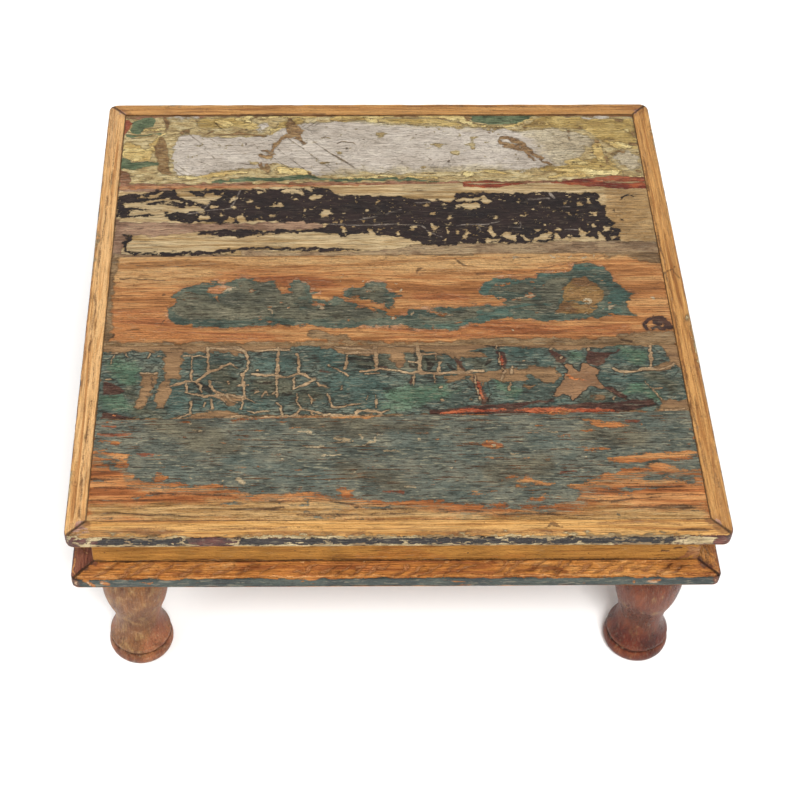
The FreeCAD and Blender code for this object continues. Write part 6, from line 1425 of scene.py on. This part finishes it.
# The legs' turned outline, from the floor up, as the CAD has it.
legShape = {
    "soleRadius": 17.8, "ringHeight": 11, "ringRadius": 19.4, "ringBulge": 2.8,
    "grooveRadius": 18.7, "grooveHeight": 1.4, "lipHeight": 4, "lipRadius": 20.1, "lipBulge": 0.5,
    "waistHeight": 34.5, "waistRadius": 15.4, "vaseHeight": 74, "vaseRadius": 21.7, "turnShare": 0.4,
    "shoulderHeight": 91, "shoulderRadius": 18.4, "coveRadius": 16.7, "coveHollow": 1.1,
    "collarRadius": 18.2, "collarHeight": 97, "collarThickness": 7, "collarBulge": 1.2,
    "plateRadius": 19.4, "plateThickness": 4, "legHeight": 109, "pinRadius": 8, "pinChamfer": 1,
    "steps": 112,
}
# Its wear: each drift is a depth, the size of its lumps and how far they are drawn out.
legWear = {
    "meanRadius": 18,
    "middle": 1,
    "grain": (0.1, 2, 8),
    "dents": (0.25, 12, 1),
    # how far the turning stands out at each height, and so how much its stain is rubbed
    "standing": {0: 0, 11: 0.6, 12: 0, 16: 1, 34: 0, 60: 0.35, 74: 1, 84: 0.4, 91: 0, 97: 0.6, 101: 1,
                 105: 0.5, 109: 1},
}


# Points from start up to end along an arc that stands off its chord by rise, outwards if over zero.
def bow(start, end, rise, steps):
    start, end = Vector(start), Vector(end)
    chord = end - start
    if not rise:
        return [start.lerp(end, step / steps) for step in range(steps)]
    radius = chord.length ** 2 / (8 * abs(rise)) + abs(rise) / 2
    half = math.asin(min(1, chord.length / 2 / radius))
    out = Vector((chord.y, -chord.x)).normalized() * math.copysign(1, rise)
    middle = (start + end) / 2
    points = []
    for step in range(steps):
        angle = half * (2 * step / steps - 1)
        points.append(middle + chord.normalized() * radius * math.sin(angle)
                      + out * radius * (math.cos(angle) - math.cos(half)))
    return points


# The rise of an arc that runs straight up or down at one of its ends.
def swell(start, end):
    across, chord = abs(start[0] - end[0]), math.dist(start, end)
    radius = chord ** 2 / (2 * across)
    return radius - math.sqrt(radius ** 2 - chord ** 2 / 4)


def legOutline(pinTop):
    leg = legShape
    grooveTop = leg["ringHeight"] + leg["grooveHeight"]
    grooveMiddle = leg["ringHeight"] + leg["grooveHeight"] / 2
    sole = (leg["soleRadius"], 0)
    ringTop = (leg["ringRadius"], leg["ringHeight"])
    groove = (leg["grooveRadius"], grooveMiddle)
    grooveEdge = (leg["ringRadius"], grooveTop)
    lip = (leg["lipRadius"], grooveTop + leg["lipHeight"])
    waist = (leg["waistRadius"], leg["waistHeight"])
    vase = (leg["vaseRadius"], leg["vaseHeight"])
    turn = tuple(low + (high - low) * leg["turnShare"] for low, high in zip(waist, vase))
    shoulder = (leg["shoulderRadius"], leg["shoulderHeight"])
    cove = (leg["coveRadius"], leg["shoulderHeight"])
    collar = (leg["collarRadius"], leg["collarHeight"])
    collarEnd = (leg["collarRadius"], leg["collarHeight"] + leg["collarThickness"])
    plateFoot = (leg["plateRadius"], leg["legHeight"] - leg["plateThickness"])
    plateTop = (leg["plateRadius"], leg["legHeight"])
    pinFoot = (leg["pinRadius"], leg["legHeight"])
    pinEdge = (leg["pinRadius"], pinTop - leg["pinChamfer"])
    pinEnd = (leg["pinRadius"] - leg["pinChamfer"], pinTop)
    top = (0, pinTop)
    # each run: where it starts and ends, how far it bows out and in how many steps
    runs = [
        ((0, 0), sole, 0, 6),
        (sole, ringTop, leg["ringBulge"], 14),
        (ringTop, groove, 0, 2),
        (groove, grooveEdge, 0, 2),
        (grooveEdge, lip, leg["lipBulge"], 5),
        (lip, waist, -swell(lip, waist), 18),
        (waist, turn, -swell(waist, turn), 12),
        (turn, vase, swell(turn, vase), 20),
        (vase, shoulder, swell(vase, shoulder), 16),
        (shoulder, cove, 0, 2),
        (cove, collar, -leg["coveHollow"], 7),
        (collar, collarEnd, leg["collarBulge"], 8),
        (collarEnd, plateFoot, 0, 2),
        (plateFoot, plateTop, 0, 4),
        (plateTop, pinFoot, 0, 3),
        (pinFoot, pinEdge, 0, 3),
        (pinEdge, pinEnd, 0, 1),
        (pinEnd, top, 0, 3),
    ]
    points = [point for start, end, rise, steps in runs for point in bow(start, end, rise, steps)]
    return points + [Vector(top)]


# Turned wood under a red-brown stain, rubbed off where the turning stands out.
legWood = dict(
    axis="Z", shift=211, fibre=0.1, dirt=0.35, relief=0.25, lines=0.15, dirtColour="3A2014",
    bands=dict(size=4), colours={0.15: "714B2B", 0.4: "8B633B", 0.6: "A0794C", 0.85: "7E5634"})

rubbedLeg = dict(
    gloss=0.38, seed=2100,
    wood=legWood)
rubbedLeg["coats"] = dict(
    redBrownStain=dict(
        shapes=[[-70, -2, 70, -2, 70, 150, -70, 150]], flakes=[(7, 0.35, 0.8, 1)],
        colours={0.2: "5F3219", 0.5: "754626", 0.8: "8A582F"}, tatter=3, rubbing=5, streaks=0.08, cuts=0.15,
        ridgesWearAndHighlight=0.15, thickness=0.03, wander=2, fray=2.5, soft=2.2, strength=0.8, bare=0),
    pinkPatches=dict(
        softPatch,
        shapes=[(-36, 30, 7, -36, 90, 10), (22, 14, 7, 25, 50, 8, 24, 96, 9),
            [62, -2, 57, 150, 50, 150, 50, -2], [-62, -2, -57, 150, -50, 150, -50, -2]],
        colours={0.2: "854726", 0.5: "9E5833", 0.8: "B16E44"}, streaks=0.08, cuts=0.15, ridgesWearAndHighlight=0.15,
        wander=2, soft=2.5, strength=0.6, bare=0),
    redRing=dict(
        softPatch, shapes=[(-60, 3, 8, 60, 3, 8), (10, 18, 7, 22, 28, 8, 30, 24, 8),
        (-30, 22, 6, -40, 24, 8)], colours={0.2: "6C3422", 0.5: "89472F", 0.8: "A46144"}, cuts=0.1,
        ridgesWearAndHighlight=0.15, wander=2, strength=0.55),
    paleSpecks=dict(
        shapes=[(-60, 12, 0.1, 60, 12, 0.1)], islands=[(1.6, 0.75, 1.5, 1)],
        colours={0.3: "A8835E", 0.7: "C4A27C"}, thickness=0.03, fray=0.6, soft=0.4, strength=0.35, cuts=0),
    # a dark line in the groove over the ring and another low on the ring, near the floor: partly dirt and
    # partly painted shade in these hollows
    grooveDirt=dict(
        shapes=[(-60, 11.4, 0.7, 60, 11.4, 0.7), (-60, 2.5, 0.4, 60, 3.5, 0.4)],
        colours={0.3: "3A1D12", 0.7: "572F1E"}, tatter=0.5, thickness=-0.3, wanderSize=6, soft=0.4,
        strength=0.85))

stainedLeg = dict(
    gloss=0.3, seed=2500,
    wood=dict(legWood, shift=251))
stainedLeg["coats"] = dict(
    redBrownStain=dict(
        shapes=[[-70, -2, 70, -2, 70, 150, -70, 150]], flakes=[(7, 1.05, 0.7, 1)],
        colours={0.2: "491809", 0.5: "622511", 0.8: "78371C"}, tatter=2.5, rubbing=1.5, streaks=0.08,
        cuts=0.15, ridgesWearAndHighlight=0.12, thickness=0.03, wander=2, fray=2, soft=1.8, bare=0, strength=0.9),
    darkStain=dict(
        softPatch,
        shapes=[(-60, 2, 7, 60, 2, 7), (-60, 26, 5, -10, 22, 6, 20, 20, 6, 60, 26, 5),
            (-60, 102, 4, 60, 102, 4)],
        colours={0.2: "3E0F04", 0.5: "521708", 0.8: "65240F"}, cuts=0.1, ridgesWearAndHighlight=0.1, wander=2, strength=0.8,
        bare=0),
    # a dark line in the groove over the ring: partly dirt and partly painted shade in the groove
    grooveDirt=dict(
        shapes=[(-60, 11.4, 0.8, 60, 11.4, 0.8)], colours={0.3: "2C120B", 0.7: "46201A"}, tatter=0.5,
        thickness=-0.3, wander=0.8, wanderSize=6, fray=0.4, soft=0.4, strength=0.9))


# A turned leg: its outline is spun round, then worn. The coats lie on it unrolled, with the side
# that faces the front in the middle.
def makeLeg(node, look, material):
    low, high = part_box(node)
    outline = legOutline(high.z / mm)
    sheet = bmesh.new()
    spots = [sheet.verts.new((point.x * mm, 0, point.y * mm)) for point in outline]
    edges = [sheet.edges.new(pair) for pair in zip(spots, spots[1:])]
    bmesh.ops.spin(sheet, geom=spots + edges, cent=(0, 0, 0), axis=(0, 0, 1), dvec=(0, 0, 0),
                   angle=math.tau, steps=legShape["steps"], use_merge=True, use_duplicate=False)
    bmesh.ops.remove_doubles(sheet, verts=sheet.verts, dist=hair * mm)
    bmesh.ops.recalc_face_normals(sheet, faces=sheet.faces)
    sheet.normal_update()
    x, y, z = (np.array([vertex.co[axis] for vertex in sheet.verts]) / mm for axis in range(3))
    around = np.arctan2(x, -y) * legWear["meanRadius"]
    seed = look["seed"]
    grain, grainSize, grainStretch = legWear["grain"]
    dents, dentSize, dentStretch = legWear["dents"]
    relief = grain * (1 + drift(z, around, grainSize, seed, grainStretch)) / 2
    relief += dents * (1 + drift(around, z, dentSize, seed + 1, dentStretch)) / 2
    heights = legWear["standing"]
    standing = np.interp(z, list(heights), list(heights.values()))
    fields = {}
    for number, (coatName, coat) in enumerate(coatsOf(look).items()):
        field = coatField(around, z, coat, seed + 10 + 10 * number)
        fields[coatName] = field - coat["rubbing"] * np.clip(standing - 0.5, 0, 1)
    writeFields(sheet, fields)
    # the sole, the pin and the middle keep their true size
    shown = (z > hair) & (z < legShape["legHeight"] - hair) & (np.hypot(x, y) > legWear["middle"])
    for vertex, amount, seen in zip(sheet.verts, relief, shown):
        if seen:
            inward = vertex.normal * amount * mm
            vertex.co -= Vector((inward.x, inward.y, 0))
    centre = ((low.x + high.x) / 2, (low.y + high.y) / 2, 0)
    bmesh.ops.translate(sheet, verts=sheet.verts, vec=centre)
    return finishPiece(sheet, f"{node}_turned", material, node)


legLooks = {"rubbed": rubbedLeg, "stained": stainedLeg}
legKinds = {"front_left": "rubbed", "front_right": "stained", "back_right": "rubbed", "back_left": "stained"}
legMaterials = {kind: makeFinish(f"leg_turned_wood_{kind}", look) for kind, look in legLooks.items()}
legs = [makeLeg(f"leg_{corner}", legLooks[kind], legMaterials[kind]) for corner, kind in legKinds.items()]
print("legs:", len(legs))

# What the table hides: sawn pine battens and corner blocks, and dull steel fasteners.
sawnPine = dict(gloss=0.6, wood=dict(
    shift=291, fibre=0.2, dirt=0.4, relief=0.3, lines=0.4, dirtColour="7A5630", bands=dict(size=9),
    colours={0.25: "A67F50", 0.45: "BE9863", 0.6: "CDAA78", 0.8: "B28A58"}))

steelLook = {
    "metal": "8E8C88",
    "rust": "6B4530",
    "cloudSize": 1.5,
    "cloudDetail": 6,
    "cloudRoughness": 0.6,
    "rustFades": (0.56, 0.64),
    "metallic": (1, 0.2),
    "roughness": (0.32, 0.6),
}


# Drawn steel wire, cut and headed: grey, a little dulled, with scattered brown spots of rust.
def makeSteel():
    material = bpy.data.materials.new("fastener_steel_dull")
    material.use_nodes = True
    tree = material.node_tree
    tree.nodes.clear()
    cloud = addNode(tree, "TexNoise", {
        "Vector": grainCoordinates(tree, "X", 1, 0),
        "Scale": 1 / steelLook["cloudSize"],
        "Detail": steelLook["cloudDetail"],
        "Roughness": steelLook["cloudRoughness"],
    })
    rust = addNode(tree, "MapRange", [cloud, *steelLook["rustFades"]])
    metal, brown = linear(steelLook["metal"]), linear(steelLook["rust"])
    skin = addNode(tree, "BsdfPrincipled", {
        "Base Color": addNode(tree, "Mix", {0: rust, 6: metal, 7: brown}, data_type="RGBA"),
        "Metallic": addNode(tree, "MapRange", [rust, 0, 1, *steelLook["metallic"]]),
        "Roughness": addNode(tree, "MapRange", [cloud, *noiseRange, *steelLook["roughness"]]),
    })
    addNode(tree, "OutputMaterial", [skin])
    return material


# The hidden CAD pieces keep their meshes and are given a finish, by how their names begin.
steel = makeSteel()
hiddenFinish = {
    "batten_screws": steel,
    "batten": makeFinish("hidden_pine_sawn_Y", dict(sawnPine, wood=dict(sawnPine["wood"], axis="Y"))),
    "corner_block": makeFinish("hidden_pine_sawn_Z", dict(sawnPine, wood=dict(sawnPine["wood"], axis="Z"))),
    "frame_nails": steel,
    "strip_brads": steel,
}
for name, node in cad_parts.items():
    finishes = [finish for start, finish in hiddenFinish.items() if name.startswith(start)]
    if finishes:
        node.data.materials.clear()
        node.data.materials.append(finishes[0])
print("hidden pieces finished")


# A plain pale floor, soft lights and the photographed view.
def makeStage():
    sheet = bmesh.new()
    bmesh.ops.create_grid(sheet, x_segments=1, y_segments=1, size=studio["floorSize"] * mm / 2)
    mesh = bpy.data.meshes.new("studio_floor")
    sheet.to_mesh(mesh)
    sheet.free()
    floor = bpy.data.objects.new("studio_floor", mesh)
    bpy.context.scene.collection.objects.link(floor)
    material = bpy.data.materials.new("floor_matt_white")
    material.use_nodes = True
    skin = material.node_tree.nodes["Principled BSDF"]
    skin.inputs["Base Color"].default_value = linear(studio["floor"])
    skin.inputs["Roughness"].default_value = studio["floorRoughness"]
    mesh.materials.append(material)
    world = bpy.data.worlds.new("studio")
    world.use_nodes = True
    sky = world.node_tree.nodes["Background"]
    sky.inputs["Color"].default_value = linear(studio["sky"])
    sky.inputs["Strength"].default_value = studio["skyStrength"]
    bpy.context.scene.world = world
    aim = (cadBounds[0] + cadBounds[1]) / 2
    for name, (place, size, watts) in studio["lights"].items():
        lamp = bpy.data.lights.new(name, "AREA")
        lamp.size = size * mm
        lamp.energy = watts
        light = bpy.data.objects.new(name, lamp)
        light.location = Vector(place) * mm
        light.rotation_euler = (aim - light.location).to_track_quat("-Z", "Y").to_euler()
        bpy.context.scene.collection.objects.link(light)


def makeCamera():
    lens = bpy.data.cameras.new("photo_view")
    lens.sensor_width = cameraView["sensor"]
    lens.lens = cameraView["lens"]
    lens.shift_x = cameraView["shift"]
    camera = bpy.data.objects.new("photo_view", lens)
    back, up = -Vector(cameraView["forward"]), -Vector(cameraView["down"])
    across = up.cross(back).normalized()
    turned = Matrix((across, back.cross(across), back)).transposed().to_4x4()
    camera.matrix_world = Matrix.Translation(Vector(cameraView["place"]) * mm) @ turned
    bpy.context.scene.collection.objects.link(camera)
    bpy.context.scene.camera = camera


makeStage()
makeCamera()
bpy.context.scene.view_settings.view_transform = "Standard"
print("stage and camera placed")
